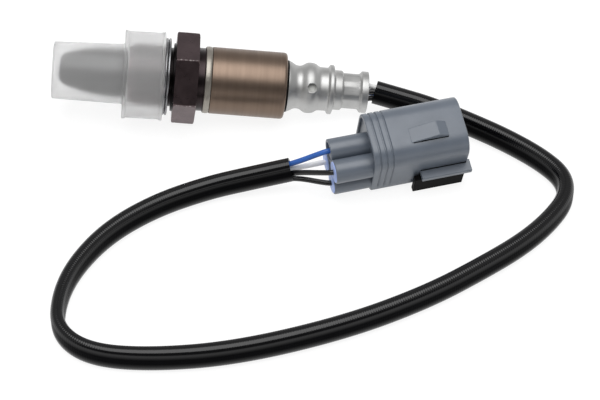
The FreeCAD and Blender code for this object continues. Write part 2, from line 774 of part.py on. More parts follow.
def make_plug_housing():
    body = new_body("plug_housing", plug_place)
    sketch = new_sketch(body, "section", "YZ_Plane")
    housing_outline(sketch, "0")
    padded(body, "shroud", sketch, "plug_length")
    sketch = new_sketch(body, "socket_section", "YZ_Plane", "plug_length")
    housing_outline(sketch, "plug_wall")
    pocketed(body, "socket", sketch, "socket_depth")
    sketch = new_sketch(body, "recess_section", "YZ_Plane")
    housing_outline(sketch, "rear_rim")
    pocketed(body, "recess", sketch, "rear_recess", backwards=True)

    # neighbouring tubes run into each other, so each sketch holds the two of one diagonal
    for pair in (("blue", "black_lower"), ("white", "black_upper")):
        sketch = new_sketch(body, f"tube_section_{pair[0]}", "YZ_Plane", "-tube_length")
        for colour in pair:
            circle(sketch, *tube_centres()[colour], "tube_radius")
        padded(body, f"tubes_{pair[0]}", sketch, "tube_length + rear_recess")
    sketch = new_sketch(body, "web_section", "YZ_Plane", "-tube_length")
    rectangle(
        sketch,
        "-cluster_side - tube_pitch / 2", "-cluster_side + tube_pitch / 2",
        "-cluster_drop - tube_pitch / 2", "-cluster_drop + tube_pitch / 2",
    )
    padded(body, "web", sketch, "tube_length + rear_recess")
    barrel_depth = f"(tube_length + {BARREL_END})"
    for name, radius, depth in (
        ("seal_bore", "seal_bore_radius", "seal_bore_depth"),
        ("barrel_bore", "(pin_barrel_radius + pin_clearance)", barrel_depth),
    ):
        sketch = new_sketch(body, f"{name}_section", "YZ_Plane", "-tube_length")
        for across, up in tube_centres().values():
            circle(sketch, across, up, radius)
        pocketed(body, name, sketch, depth, backwards=True)
    sketch = new_sketch(body, "blade_slots", "YZ_Plane", "plug_length - socket_depth")
    for across, up in tube_centres().values():
        rectangle(
            sketch,
            f"{across} - pin_width / 2 - pin_clearance", f"{across} + pin_width / 2 + pin_clearance",
            f"{up} - pin_thickness / 2 - pin_clearance", f"{up} + pin_thickness / 2 + pin_clearance",
        )
    pocketed(body, "blade_slot_cut", sketch, "blade_seat")

    sketch = new_sketch(body, "rib_section", "YZ_Plane", "rib_start")
    housing_outline(sketch, "(-1)")
    housing_outline(sketch, "rib_depth")
    groove = pocketed(body, "rib_groove", sketch, "rib_width", backwards=True)
    pattern = body.newObject("PartDesign::LinearPattern", "plug_housing_ribs")
    pattern.Originals = [groove]
    axis = [item for item in body.Origin.OriginFeatures if item.Role == "X_Axis"][0]
    pattern.Direction = (axis, [""])
    pattern.setExpression("Length", bound("rib_spacing"))
    pattern.setExpression("Occurrences", bound("rib_count"))
    body.Tip = pattern
    document.recompute()

    # latch ramp on the top, over the middle of the tubes
    sketch = new_sketch(body, "ramp_side", "XZ_Plane", "ramp_side - ramp_width / 2")
    polygon(sketch, [
        ("ramp_start", "plug_top - plug_wall / 2"),
        ("ramp_end", "plug_top - plug_wall / 2"),
        ("ramp_end", "plug_top + ramp_height / 3"),
        ("ramp_crest", "plug_top + ramp_height"),
        ("ramp_start", "plug_top"),
    ])
    padded(body, "ramp", sketch, "ramp_width")

    # rail on the near side: a ledge above the clip and a foot behind it
    sketch = new_sketch(body, "ledge_section", "YZ_Plane", "ledge_start")
    rectangle(
        sketch,
        "-plug_half_width - ledge_reach", "-plug_half_width + plug_wall / 2",
        "-ledge_top - ledge_thickness", "-ledge_top",
    )
    padded(body, "ledge", sketch, "plug_length + ledge_overhang - ledge_start")
    sketch = new_sketch(body, "foot_section", "YZ_Plane", "foot_start")
    rectangle(
        sketch,
        "-plug_half_width - foot_reach", "-plug_half_width + plug_wall / 2",
        "-foot_top - foot_height", "-foot_top",
    )
    padded(body, "foot", sketch, "foot_length")


# Seals and pins share one outline each and differ in their place
def make_plug_inserts():
    mouth = "(-tube_length)"
    seal_end = f"({mouth} + seal_bore_depth - pin_clearance)"
    seal_start = f"({mouth} + seal_recess)"
    rib = f"(({seal_end} - {seal_start}) / 7)"
    profile = [(seal_start, "wire_radius")]
    for step in range(7):
        radius = "seal_bore_radius" if step % 2 == 0 else "seal_waist_radius"
        profile.append((f"{seal_start} + {step} * {rib}", radius))
        profile.append((f"{seal_start} + {step + 1} * {rib}", radius))
    profile.append((seal_end, "wire_radius"))
    for colour, (across, up) in tube_centres().items():
        offset = FreeCAD.Placement(FreeCAD.Vector(0, value(across), value(up)), FreeCAD.Rotation())
        place = plug_place.multiply(offset)
        turned(f"seal_{colour}", profile, place)
        body = turned(f"pin_{colour}", [
            ("-pin_barrel_start", "0"),
            ("-pin_barrel_start", "pin_barrel_radius"),
            (BARREL_END, "pin_barrel_radius"),
            (BARREL_END, "0"),
        ], place)
        sketch = new_sketch(body, "blade_section", "YZ_Plane", BARREL_END)
        rectangle(sketch, "-pin_width / 2", "pin_width / 2", "-pin_thickness / 2", "pin_thickness / 2")
        padded(body, "blade", sketch, "pin_length")

    body = new_body("pin_retainer", plug_place)
    sketch = new_sketch(body, "plate_section", "YZ_Plane", "plug_length - socket_depth")
    housing_outline(sketch, "(plug_wall + retainer_gap)")
    for across, up in tube_centres().values():
        rectangle(
            sketch,
            f"{across} - pin_width / 2 - pin_clearance", f"{across} + pin_width / 2 + pin_clearance",
            f"{up} - pin_thickness / 2 - pin_clearance", f"{up} + pin_thickness / 2 + pin_clearance",
        )
    padded(body, "plate", sketch, "retainer_thickness")


def make_mounting_clip():
    body = new_body("mounting_clip", plug_place)
    sketch = new_sketch(body, "side", "XZ_Plane", "plug_half_width + foot_reach")
    top = "(-ledge_top - ledge_thickness)"
    notch = "(clip_start + clip_notch_start)"
    polygon(sketch, [
        ("clip_start", "-clip_drop"),
        ("clip_start + clip_length", "-clip_drop"),
        ("clip_start + clip_length", top),
        (f"{notch} + clip_notch_length", top),
        (f"{notch} + clip_notch_length", f"{top} - clip_notch_depth"),
        (notch, f"{top} - clip_notch_depth"),
        (notch, top),
        ("clip_start", top),
    ])
    padded(body, "plate", sketch, "clip_thickness")


# Route of the harness sleeve: it leaves the vented cap, passes behind the plug and comes back to it
ROUTE = [
    (45.6, 0.0, 6.4), (52.5, -1.5, 5.1), (61.0, -3.8, 3.9), (71.0, -9.2, 3.6), (81.5, -15.8, 3.6),
    (90.8, -23.3, 3.6), (96.2, -30.2, 3.6), (96.2, -37.6, 3.6), (91.2, -45.4, 3.6), (84.0, -53.0, 3.6),
    (74.0, -60.6, 3.6), (58.0, -71.3, 3.6), (36.5, -81.5, 3.6), (9.0, -89.8, 3.6), (-13.0, -92.0, 3.6),
    (-28.7, -90.3, 3.6), (-37.0, -83.0, 3.6), (-37.3, -72.5, 3.6), (-34.0, -61.5, 3.6), (-26.0, -49.5, 3.6),
    (-14.0, -40.0, 3.6), (0.0, -33.6, 3.8), (12.2, -31.0, 5.0), (22.6, -30.0, 7.2),
]
BEND_SHARE = 0.45


def smooth_path(points):
    """Straight runs joined by tangent arcs, and the arcs' radii."""
    edges, radii, start = [], [], points[0]
    for before, corner, after in zip(points, points[1:], points[2:]):
        incoming = (corner - before).normalize()
        outgoing = (after - corner).normalize()
        turn = incoming.getAngle(outgoing)
        trim = BEND_SHARE * min((corner - before).Length, (after - corner).Length)
        radius = trim / math.tan(turn / 2)
        entry = corner - incoming * trim
        leave = corner + outgoing * trim
        towards_centre = (outgoing - incoming).normalize()
        middle = corner + towards_centre * (radius / math.cos(turn / 2) - radius)
        edges.append(Part.LineSegment(start, entry).toShape())
        edges.append(Part.Arc(entry, middle, leave).toShape())
        radii.append(radius)
        start = leave
    edges.append(Part.LineSegment(start, points[-1]).toShape())
    return Part.Wire(edges), radii


def swept(section, path, upright=False):
    """The closed solid of a section carried along a path."""
    sweep = Part.BRepOffsetAPI.MakePipeShell(path)
    if upright:
        sweep.setBiNormalMode(FreeCAD.Vector(0, 0, 1))
    sweep.add(section)
    sweep.build()
    sweep.makeSolid()
    solid = sweep.shape()
    area = Part.Face(section).Area
    ratio = solid.Volume / (area * path.Length)
    if not solid.isValid() or abs(ratio - 1) > 0.01:
        raise ValueError(f"the sweep's volume is {ratio:.4f} of its section times its length")
    return solid


def keep_shape(label, shape):
    """A sub-part whose shape is worked out here, in the part's own frame."""
    feature = document.addObject("Part::Feature", label)
    feature.Label = label
    feature.Shape = shape
    feature.Placement = FreeCAD.Placement()
    pieces.append(feature)


def level(run):
    """The run's direction over the table."""
    return FreeCAD.Vector(run.x, run.y, 0).normalize()


def make_harness():
    route = [FreeCAD.Vector(*point) for point in ROUTE]
    path, radii = smooth_path(route)
    upright = FreeCAD.Vector(0, 0, 1)
    across = upright.cross(level(route[1] - route[0]))
    half_width = value("harness_width / 2")
    straight = value("harness_height / 2") - half_width
    low_left, low_right = (route[0] + across * side * half_width - upright * straight for side in (1, -1))
    high_left, high_right = (route[0] + across * side * half_width + upright * straight for side in (1, -1))
    crest = route[0] + upright * (straight + half_width)
    trough = route[0] - upright * (straight + half_width)
    section = Part.Wire([
        Part.Arc(high_left, crest, high_right).toShape(),
        Part.LineSegment(high_right, low_right).toShape(),
        Part.Arc(low_right, trough, low_left).toShape(),
        Part.LineSegment(low_left, high_left).toShape(),
    ])
    keep_shape("harness_sleeve", swept(section, path, upright=True))
    print("harness length", round(path.Length, 1), "radii", [round(radius, 1) for radius in radii])


def lead(points):
    """A round wire along a short path of its own."""
    path, radii = smooth_path(points)
    direction = (points[1] - points[0]).normalize()
    section = Part.Wire([Part.Circle(points[0], direction, value("wire_radius")).toShape()])
    return swept(section, path), radii, path.Length


def make_leads():
    """The bare stretches of the four lead wires, at the sensor and at the plug."""
    route = [FreeCAD.Vector(*point) for point in ROUTE]
    first = level(route[1] - route[0])
    last = level(route[-1] - route[-2])
    upright = FreeCAD.Vector(0, 0, 1)
    spread, squeeze = value("wire_spread"), value("wire_squeeze")
    for colour, (far, high) in CORNERS.items():
        inner, corner = (
            sensor_place.multVec(FreeCAD.Vector(value(station), far * spread, high * spread))
            for station in (WIRE_START, f"{GROMMET_END} + wire_exit")
        )
        entry = corner + first * (route[0] - corner).dot(first)
        near, radii_near, length_near = lead([inner, corner, entry])
        across = upright.cross(last)
        leave = route[-1] + across * far * squeeze + upright * high * spread
        centre = tube_centres()[colour]
        mouth, stop = (
            plug_place.multVec(FreeCAD.Vector(value(station), value(centre[0]), value(centre[1])))
            for station in ("-tube_length - wire_bend", "-pin_barrel_start")
        )
        distant, radii_distant, length_distant = lead([leave, leave + last * value("wire_bend"), mouth, stop])
        keep_shape(f"lead_wire_{colour}", Part.makeCompound([near, distant]))
        lengths = round(length_near, 1), round(length_distant, 1)
        print("lead", colour, lengths, [round(radius, 1) for radius in radii_near + radii_distant])


def write_pieces():
    """Checks every object and writes each sub-part to its own file."""
    for item in document.Objects:
        if "Invalid" in item.State or "Error" in item.State:
            raise ValueError(f"{item.Label} failed: {item.State}")
    os.makedirs("parts", exist_ok=True)
    for piece in pieces:
        if piece.Shape.isNull() or not piece.Shape.isValid():
            raise ValueError(f"{piece.Label} has no valid shape")
        piece.Shape.exportStep(os.path.join("parts", f"{piece.Label}.step"))
    print(len(pieces), "pieces")


make_transit_cap()
make_protectors()
make_shell()
make_gasket()
make_element()
make_casing()
make_vented_cap()
make_inner_pieces()
make_contacts()
make_plug_housing()
make_plug_inserts()
make_mounting_clip()
make_harness()
make_leads()
document.recompute()
write_pieces()
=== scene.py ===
"""Looks of an oxygen sensor with its lead and plug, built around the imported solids."""

import logging
import math
from dataclasses import dataclass
from enum import Enum
from typing import Callable, Iterable, Sequence

import bpy
from mathutils import Matrix, Vector


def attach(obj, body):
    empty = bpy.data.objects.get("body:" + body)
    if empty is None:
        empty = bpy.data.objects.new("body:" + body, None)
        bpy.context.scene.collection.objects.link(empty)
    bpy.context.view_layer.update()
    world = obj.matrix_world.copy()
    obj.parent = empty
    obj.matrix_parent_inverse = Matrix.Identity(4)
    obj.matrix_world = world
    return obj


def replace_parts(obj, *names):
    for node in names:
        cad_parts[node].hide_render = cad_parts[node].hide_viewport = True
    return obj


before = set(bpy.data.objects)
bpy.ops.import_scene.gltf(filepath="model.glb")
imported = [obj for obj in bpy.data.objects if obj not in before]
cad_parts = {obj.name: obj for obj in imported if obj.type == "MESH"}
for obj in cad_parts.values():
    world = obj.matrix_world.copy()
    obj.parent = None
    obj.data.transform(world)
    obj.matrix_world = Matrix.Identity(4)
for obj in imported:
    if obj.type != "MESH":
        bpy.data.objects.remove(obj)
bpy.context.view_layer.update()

LOG = logging.getLogger("sensor")
MILLIMETRE = 0.001
TINY = 1e-6
Color = tuple[float, float, float]
Point = tuple[float, float]
Relief = Callable[[float, float, float], float]


def srgb(red: int, green: int, blue: int) -> Color:
    """Linear colour of an 8-bit screen colour.

    Args:
        red, green, blue: Screen values from 0 to 255.

    Returns:
        The three linear channels.
    """
    return tuple(
        value / 12.92 if value <= 0.04045 else ((value + 0.055) / 1.055) ** 2.4
        for value in (channel / 255 for channel in (red, green, blue))
    )


# Places of the two rigid groups, in millimetres: the tilted sensor and the leaning plug
SENSOR_TILT = 6.3878
SENSOR_ORIGIN = Vector((-9.8211, 0.0, 12.3768))
PLUG_YAW = 14.5
PLUG_ROLL = 17.0
PLUG_ORIGIN = Vector((42.5, -27.2, 11.9635))
SENSOR = Matrix.Translation(SENSOR_ORIGIN) @ Matrix.Rotation(math.radians(SENSOR_TILT), 4, "Y")
PLUG = (
    Matrix.Translation(PLUG_ORIGIN)
    @ Matrix.Rotation(math.radians(PLUG_YAW), 4, "Z")
    @ Matrix.Rotation(math.radians(PLUG_ROLL), 4, "X")
)
TABLE = Matrix.Identity(4)


# Shader arithmetic


class Signal:
    """A shader output that takes part in Python expressions."""

    def __init__(self, board: "Board", socket: bpy.types.NodeSocket | None) -> None:
        """Keeps the node board and the output socket."""
        self.board = board
        self.socket = socket

    def maths(self, operation: str, *values: "Signal | float", clamp: bool = False) -> "Signal":
        """One Math node.

        Args:
            operation: Blender's name of the operation.
            values: Its inputs, in order.
            clamp: Whether the result is held between 0 and 1.

        Returns:
            The node's output.
        """
        settings = {"operation": operation, "use_clamp": clamp}
        return self.board.node("ShaderNodeMath", settings, dict(enumerate(values)))

    def __add__(self, other: "Signal | float") -> "Signal":
        """Sum."""
        return self.maths("ADD", self, other)

    def __radd__(self, other: float) -> "Signal":
        """Sum with a number on the left."""
        return self.maths("ADD", other, self)

    def __sub__(self, other: "Signal | float") -> "Signal":
        """Difference."""
        return self.maths("SUBTRACT", self, other)

    def __rsub__(self, other: float) -> "Signal":
        """Difference from a number on the left."""
        return self.maths("SUBTRACT", other, self)

    def __mul__(self, other: "Signal | float") -> "Signal":
        """Product."""
        return self.maths("MULTIPLY", self, other)

    def __rmul__(self, other: float) -> "Signal":
        """Product with a number on the left."""
        return self.maths("MULTIPLY", other, self)

    def beside(self, output: int | str) -> "Signal":
        """Another output of the same node.

        Args:
            output: Its name or number.

        Returns:
            That output.
        """
        return Signal(self.board, self.socket.node.outputs[output])

    def clamped(self) -> "Signal":
        """The value held between 0 and 1."""
        return self.maths("ADD", self, 0.0, clamp=True)

    def band(self, low: float, high: float) -> "Signal":
        """0 below low, 1 above high and a smooth rise between.

        Args:
            low: Where the rise starts.
            high: Where it ends.

        Returns:
            The smooth step.
        """
        settings = {"interpolation_type": "SMOOTHSTEP", "clamp": True}
        return self.board.node(
            "ShaderNodeMapRange", settings, {0: self, 1: low, 2: high, 3: 0.0, 4: 1.0}
        )


class Board:
    """A node tree with one method that adds any node."""

    def __init__(self, tree: bpy.types.NodeTree) -> None:
        """Keeps the tree."""
        self.tree = tree

    def node(
        self,
        kind: str,
        settings: dict[str, object] | None = None,
        inputs: dict[int | str, object] | None = None,
        output: int | str = 0,
    ) -> Signal:
        """Adds a node.

        Args:
            kind: The node's type.
            settings: Its properties, set first.
            inputs: Values or links of its sockets, by name or number.
            output: The socket that the result stands for.

        Returns:
            That output.
        """
        made = self.tree.nodes.new(kind)
        for name, value in (settings or {}).items():
            setattr(made, name, value)
        for key, value in (inputs or {}).items():
            if isinstance(value, Signal):
                self.tree.links.new(value.socket, made.inputs[key])
            else:
                made.inputs[key].default_value = value
        return Signal(self, made.outputs[output] if made.outputs else None)

    def local(self, place: Matrix, stretch: tuple[float, float, float]) -> Signal:
        """Millimetres in a group's own frame, each axis times a factor.

        Args:
            place: The group's place.
            stretch: Factors along its X, Y and Z.

        Returns:
            The coordinate.
        """
        coordinate = self.node("ShaderNodeTexCoord", output="Object")
        turned = self.node(
            "ShaderNodeMapping",
            {"vector_type": "TEXTURE"},
            {
                "Vector": coordinate,
                "Location": place.translation * MILLIMETRE,
                "Rotation": place.to_euler("XYZ"),
                "Scale": (MILLIMETRE,) * 3,
            },
        )
        return self.node("ShaderNodeVectorMath", {"operation": "MULTIPLY"}, {0: turned, 1: stretch})

    def noise(
        self, vector: Signal, scale: float, detail: float = 2.0, roughness: float = 0.5
    ) -> Signal:
        """Noise between 0 and 1.

        Args:
            vector: Where it is read.
            scale: Its frequency per unit of the vector.
            detail: Number of finer layers.
            roughness: Weight of the finer layers.

        Returns:
            The noise's value.
        """
        inputs = {"Vector": vector, "Scale": scale, "Detail": detail, "Roughness": roughness}
        return self.node("ShaderNodeTexNoise", {}, inputs)

    def blend(self, factor: Signal | float, low: object, high: object) -> Signal:
        """A mix of two colours.

        Args:
            factor: 0 gives the first and 1 the second.
            low: The first colour or link.
            high: The second.

        Returns:
            The mixed colour.
        """
        low, high = ((*value, 1.0) if isinstance(value, tuple) else value for value in (low, high))
        return self.node("ShaderNodeMix", {"data_type": "RGBA"}, {0: factor, 6: low, 7: high}, 2)

    def bump(self, height: Signal, distance: float, under: Signal | None = None) -> Signal:
        """A normal bent by a height.

        Args:
            height: The height, about 0 to 1.
            distance: What 1 stands for, in millimetres.
            under: A normal that is already bent.

        Returns:
            The normal.
        """
        inputs = {"Height": height, "Distance": distance * MILLIMETRE, "Strength": 1.0}
        if under:
            inputs["Normal"] = under
        return self.node("ShaderNodeBump", {}, inputs, "Normal")


# Finishes


@dataclass(frozen=True)
class Finish:
    """A finish with cloudy colour, uneven gloss and a fine grain."""

    label: str
    color: Color
    roughness: float
    metallic: float = 0.0
    place: str = "table"
    stretch: tuple[float, float, float] = (1.0, 1.0, 1.0)
    cloud: float = 0.12
    cloud_scale: float = 0.25
    gloss_change: float = 0.08
    grain_scale: float = 3.0
    grain_depth: float = 0.01
    specular: float = 0.5

    def frame_of(self) -> Matrix:
        """The group whose axes the grain follows."""
        return {"sensor": SENSOR, "plug": PLUG, "table": TABLE}[self.place]

    def color_signal(self, board: Board) -> Signal:
        """The colour over the surface."""
        cloud = board.noise(board.local(self.frame_of(), self.stretch), self.cloud_scale, 4.0)
        dark = tuple(channel * (1 - self.cloud) for channel in self.color)
        light = tuple(min(1.0, channel * (1 + self.cloud)) for channel in self.color)
        return board.blend(cloud.band(0.3, 0.7), dark, light)

    def roughness_signal(self, board: Board) -> Signal:
        """The roughness over the surface."""
        patch = board.noise(board.local(self.frame_of(), self.stretch), self.cloud_scale * 3, 3.0)
        return ((patch - 0.5) * (2 * self.gloss_change) + self.roughness).clamped()

    def normal_signal(self, board: Board) -> Signal:
        """The normal with its grain."""
        grain = board.noise(board.local(self.frame_of(), self.stretch), self.grain_scale, 3.0, 0.6)
        return board.bump(grain, self.grain_depth)

    def principled_inputs(self, board: Board) -> dict[str, object]:
        """Values and links of the shader's sockets."""
        return {
            "Base Color": self.color_signal(board),
            "Roughness": self.roughness_signal(board),
            "Metallic": self.metallic,
            "Specular IOR Level": self.specular,
            "Normal": self.normal_signal(board),
        }

    def material(self) -> bpy.types.Material:
        """The finish's material, made once."""
        name = f"{self.label}_look"
        found = bpy.data.materials.get(name)
        if found:
            return found
        made = bpy.data.materials.new(name)
        made.use_nodes = True
        made.node_tree.nodes.clear()
        board = Board(made.node_tree)
        shader = board.node("ShaderNodeBsdfPrincipled", {}, self.principled_inputs(board))
        board.node("ShaderNodeOutputMaterial", {}, {"Surface": shader})
        made.diffuse_color = (*self.color, 1.0)
        return made


@dataclass(frozen=True)
class WornFinishWithPaintedShade(Finish):
    """A plated finish, rubbed bright by the piece's wear attribute and given painted shade by its shade
    attribute.
    """

    bare: Color = (0.62, 0.58, 0.57)
    # Colour of the painted shade
    black: Color = (0.004, 0.004, 0.004)
    shade_darkness: float = 0.97
    fleck_scale: float = 1.6

    def color_signal(self, board: Board) -> Signal:
        """Plating with bare flecks along worn edges, and painted shade near black where the shade
        attribute is set.
        """
        shade = board.node("ShaderNodeAttribute", {"attribute_name": "shade"}, output="Fac")
        wear = board.node("ShaderNodeAttribute", {"attribute_name": "wear"}, output="Fac")
        spot = board.local(self.frame_of(), (1.0, 1.0, 1.0))
        fleck = board.noise(spot, self.fleck_scale, 5.0, 0.7)
        bared = (wear.band(0.4, 1.0) * fleck.band(0.46, 0.66)).clamped()
        # Painted shade: the shade attribute blends the plating towards near black
        dark = board.blend(shade * self.shade_darkness, super().color_signal(board), self.black)
        return board.blend(bared, dark, self.bare)


@dataclass(frozen=True)
class FrostedFinish(Finish):
    """Soft plastic that shows what is inside it as through a haze."""

    clearness: float = 0.85
    index: float = 1.3

    def principled_inputs(self, board: Board) -> dict[str, object]:
        """Light passes through the wall and is scattered by it."""
        inputs = super().principled_inputs(board)
        inputs["Transmission Weight"] = self.clearness
        inputs["IOR"] = self.index
        return inputs


@dataclass(frozen=True)
class RibbedFinish(Finish):
    """Lead sleeve: fine woven dots between its ribs, from the piece's own map."""

    rows: float = 48.0
    pitch: float = 0.65
    dot_depth: float = 0.005
    dark_band_rise: float = 0.12
    painted_sheen: float = 0.8

    @staticmethod
    def chart(board: Board) -> Signal:
        """Millimetres along the sleeve; the output beside it is turns round it."""
        spot = board.node("ShaderNodeUVMap", {"uv_map": "along"})
        return board.node("ShaderNodeSeparateXYZ", {}, {0: spot}, "X")

    def principled_inputs(self, board: Board) -> dict[str, object]:
        """Painted reflection: a coat on its upper and lower edges and none on its flat sides, so the
        sides stay dark.
        """
        across = self.chart(board).beside("Y")
        rise = across.maths("COSINE", across * (2 * math.pi))
        offset = rise.maths("ABSOLUTE", rise - self.dark_band_rise)
        inputs = super().principled_inputs(board)
        # Painted reflection: coat weight set by the place round the section
        inputs["Coat Weight"] = offset.band(0.1, 0.5) * self.painted_sheen
        inputs["Coat Roughness"] = 0.15
        return inputs

    def normal_signal(self, board: Board) -> Signal:
        """Dots in rows along the sleeve over the grain."""
        along = self.chart(board)
        across = along.beside("Y")
        wave = along.maths("SINE", along * (2 * math.pi / self.pitch))
        row = across.maths("SINE", across * (2 * math.pi * self.rows))
        return board.bump(wave * row * 0.5 + 0.5, self.dot_depth, super().normal_signal(board))


class Finishes(Enum):
    """Every finish on the object."""

    FROSTED = FrostedFinish(
        "frosted_plastic", srgb(254, 254, 254), 0.31, 0.0, "sensor",
        cloud=0.01, gloss_change=0.02, grain_depth=0.0002,
    )
    PROTECTOR = Finish("protector_steel", srgb(28, 28, 31), 0.5, 0.5, "sensor", (3.0, 0.3, 0.3), 0.1)
    SHELL = WornFinishWithPaintedShade("shell_plating", srgb(94, 81, 83), 0.3, 1.0, "sensor", grain_depth=0.0025)
    GASKET = Finish("gasket_steel", srgb(140, 140, 142), 0.24, 1.0, "sensor", (0.4, 1.0, 1.0), 0.1)
    RING = Finish("ring_steel", srgb(152, 147, 139), 0.42, 1.0, "sensor", (0.5, 1.0, 1.0), 0.12)
    CASING = Finish(
        "casing_steel", srgb(120, 104, 92), 0.4, 1.0, "sensor", (4.0, 0.12, 0.12), 0.05,
        grain_scale=1.5, grain_depth=0.001,
    )
    CAP = Finish(
        "cap_steel", srgb(183, 183, 182), 0.46, 1.0, "sensor", (1.2, 0.5, 0.5), 0.07,
        grain_depth=0.003,
    )
    FILTER = Finish("filter_white", srgb(236, 236, 232), 0.7, 0.0, "sensor", grain_scale=6.0)
    GROMMET = Finish("grommet_rubber", srgb(34, 34, 35), 0.6, 0.0, "sensor")
    # Painted shadow: near black for strips and rings that stand in for shade in gaps
    GAP = Finish("gap_rubber", srgb(8, 8, 8), 0.6, 0.0, "sensor", specular=0.1)
    CERAMIC = Finish("ceramic", srgb(232, 230, 224), 0.5, 0.0, "sensor")
    BLUE = Finish("wire_blue", srgb(46, 98, 180), 0.35, cloud=0.06)
    WHITE = Finish("wire_white", srgb(254, 254, 253), 0.4, cloud=0.04)
    BLACK = Finish("wire_black", srgb(12, 12, 13), 0.25, cloud=0.1)
    SLEEVE = RibbedFinish(
        "sleeve_plastic", srgb(7, 7, 9), 0.3, cloud=0.15, grain_scale=1.5, specular=0.01
    )
    SEAL = Finish("seal_rubber", srgb(166, 187, 240), 0.45, 0.0, "plug")
    HOUSING = Finish(
        "housing_plastic", srgb(95, 103, 114), 0.38, 0.0, "plug", cloud=0.04, cloud_scale=0.15,
        grain_scale=4.0, grain_depth=0.003, specular=0.75,
    )
    CLIP = Finish("clip_plastic", srgb(21, 21, 22), 0.4, 0.0, "plug", specular=0.01)
    PIN = Finish("pin_metal", srgb(205, 203, 196), 0.28, 1.0, "plug")


# Mesh making


def piece(
    name: str,
    verts: Sequence[Vector],
    faces: Sequence[Sequence[int]],
    finish: Finishes,
    place: Matrix,
    sharp: float = 34.0,
) -> bpy.types.Object:
    """An object at the origin whose mesh holds its place.

    Args:
        name: The object's name.
        verts: Points in the group's own millimetres.
        faces: Vertex numbers of each face.
        finish: What it is dressed in.
        place: The group's place.
        sharp: Angle in degrees past which an edge stays crisp.

    Returns:
        The object.
    """
    mesh = bpy.data.meshes.new(name)
    mesh.from_pydata([(place @ vert) * MILLIMETRE for vert in verts], [], faces)
    mesh.validate()
    mesh.polygons.foreach_set("use_smooth", [True] * len(mesh.polygons))
    mesh.set_sharp_from_angle(angle=math.radians(sharp))
    mesh.materials.append(finish.value.material())
    made = bpy.data.objects.new(name, mesh)
    bpy.context.scene.collection.objects.link(made)
    return made


def spoke(angle: float) -> Vector:
    """The outward direction at a turn about X, from up towards the far side."""
    return Vector((0.0, math.sin(angle), math.cos(angle)))


def own_spots(made: bpy.types.Object) -> list[Vector]:
    """An object's points in the sensor's own millimetres."""
    back = SENSOR.inverted() @ Matrix.Scale(1 / MILLIMETRE, 4)
    return [back @ vert.co for vert in made.data.vertices]


def joined(name: str, parts: Sequence[bpy.types.Object]) -> bpy.types.Object:
    """Several objects as one.

    Args:
        name: The name of the result.
        parts: The objects; the first one's data is kept.

    Returns:
        The joined object.
    """
    with bpy.context.temp_override(
        active_object=parts[0], selected_editable_objects=list(parts), object=parts[0]
    ):
        bpy.ops.object.join()
    parts[0].name = name
    parts[0].data.name = name
    return parts[0]


def softened(corners: Sequence[tuple[float, float, float]], steps: int = 3) -> list[Point]:
    """An outline with its corners rounded.

    Args:
        corners: Station, radius and rounding of each corner.
        steps: Points on each rounding, less one.

    Returns:
        The outline's points.
    """
    outline: list[Point] = []
    count = len(corners)
    for index, (station, radius, rounding) in enumerate(corners):
        here = Vector((station, radius))
        before = Vector(corners[index - 1][:2]) - here
        after = Vector(corners[(index + 1) % count][:2]) - here
        if rounding <= 0 or before.length < TINY or after.length < TINY:
            outline.append((station, radius))
            continue
        reach = min(rounding, before.length * 0.48, after.length * 0.48)
        start = here + before.normalized() * reach
        end = here + after.normalized() * reach
        for step in range(steps + 1):
            share = step / steps
            spot = start * (1 - share) ** 2 + here * 2 * share * (1 - share) + end * share**2
            outline.append((spot.x, spot.y))
    return outline


def divided(outline: Sequence[Point], longest: float, low: float, high: float) -> list[Point]:
    """The outline with extra points where its stations lie between two limits.

    Args:
        outline: Stations and radii.
        longest: Greatest step between points there.
        low: The first station.
        high: The last station.

    Returns:
        The finer outline.
    """
    finer: list[Point] = []
    for first, second in zip(outline, outline[1:]):
        finer.append(first)
        inside = low - TINY <= min(first[0], second[0]) and max(first[0], second[0]) <= high + TINY
        length = math.dist(first, second)
        if inside and length > longest:
            count = math.ceil(length / longest)
            for step in range(1, count):
                share = step / count
                finer.append(tuple(a + (b - a) * share for a, b in zip(first, second)))
    finer.append(outline[-1])
    return finer


def turned(
    name: str,
    outline: Sequence[Point],
    finish: Finishes,
    segments: int = 96,
    closed: bool = True,
    relief: Relief | None = None,
    place: Matrix = SENSOR,
    phase: float = 0.0,
) -> bpy.types.Object:
    """A piece turned about the group's X axis.

    Args:
        name: The object's name.
        outline: Stations and radii, clockwise when stations grow to the right and radii upwards.
        finish: What it is dressed in.
        segments: Faces round the axis.
        closed: Whether the last point joins the first; otherwise both ends close on the axis.
        relief: Radius at a station, plain radius and angle, in place of the plain one.
        place: The group's place.
        phase: Angle of the first column, from local up towards the far side, in degrees.

    Returns:
        The object.
    """
    verts: list[Vector] = []
    rings: list[list[int]] = []
    for station, radius in outline:
        if radius < TINY:
            verts.append(Vector((station, 0, 0)))
            rings.append([len(verts) - 1])
            continue
        ring = []
        for step in range(segments):
            angle = math.radians(phase) + 2 * math.pi * step / segments
            true_radius = relief(station, radius, angle) if relief else radius
            across, up = true_radius * math.sin(angle), true_radius * math.cos(angle)
            verts.append(Vector((station, across, up)))
            ring.append(len(verts) - 1)
        rings.append(ring)
    pairs = list(zip(rings, rings[1:]))
    if closed:
        pairs.append((rings[-1], rings[0]))
    return piece(name, verts, list(ring_faces(pairs)), finish, place)


def ring_faces(pairs: Iterable[tuple[list[int], list[int]]]) -> Iterable[tuple[int, ...]]:
    """Faces between neighbouring rings.

    Args:
        pairs: Two rings of vertex numbers each; a ring of one is a pole.

    Yields:
        Each face's vertex numbers.
    """
    for first, second in pairs:
        count = max(len(first), len(second))
        if count == 1:
            continue
        for step in range(count):
            following = (step + 1) % count
            if len(first) == 1:
                yield (first[0], second[step], second[following])
            elif len(second) == 1:
                yield (first[step], second[0], first[following])
            else:
                yield (first[step], second[step], second[following], first[following])


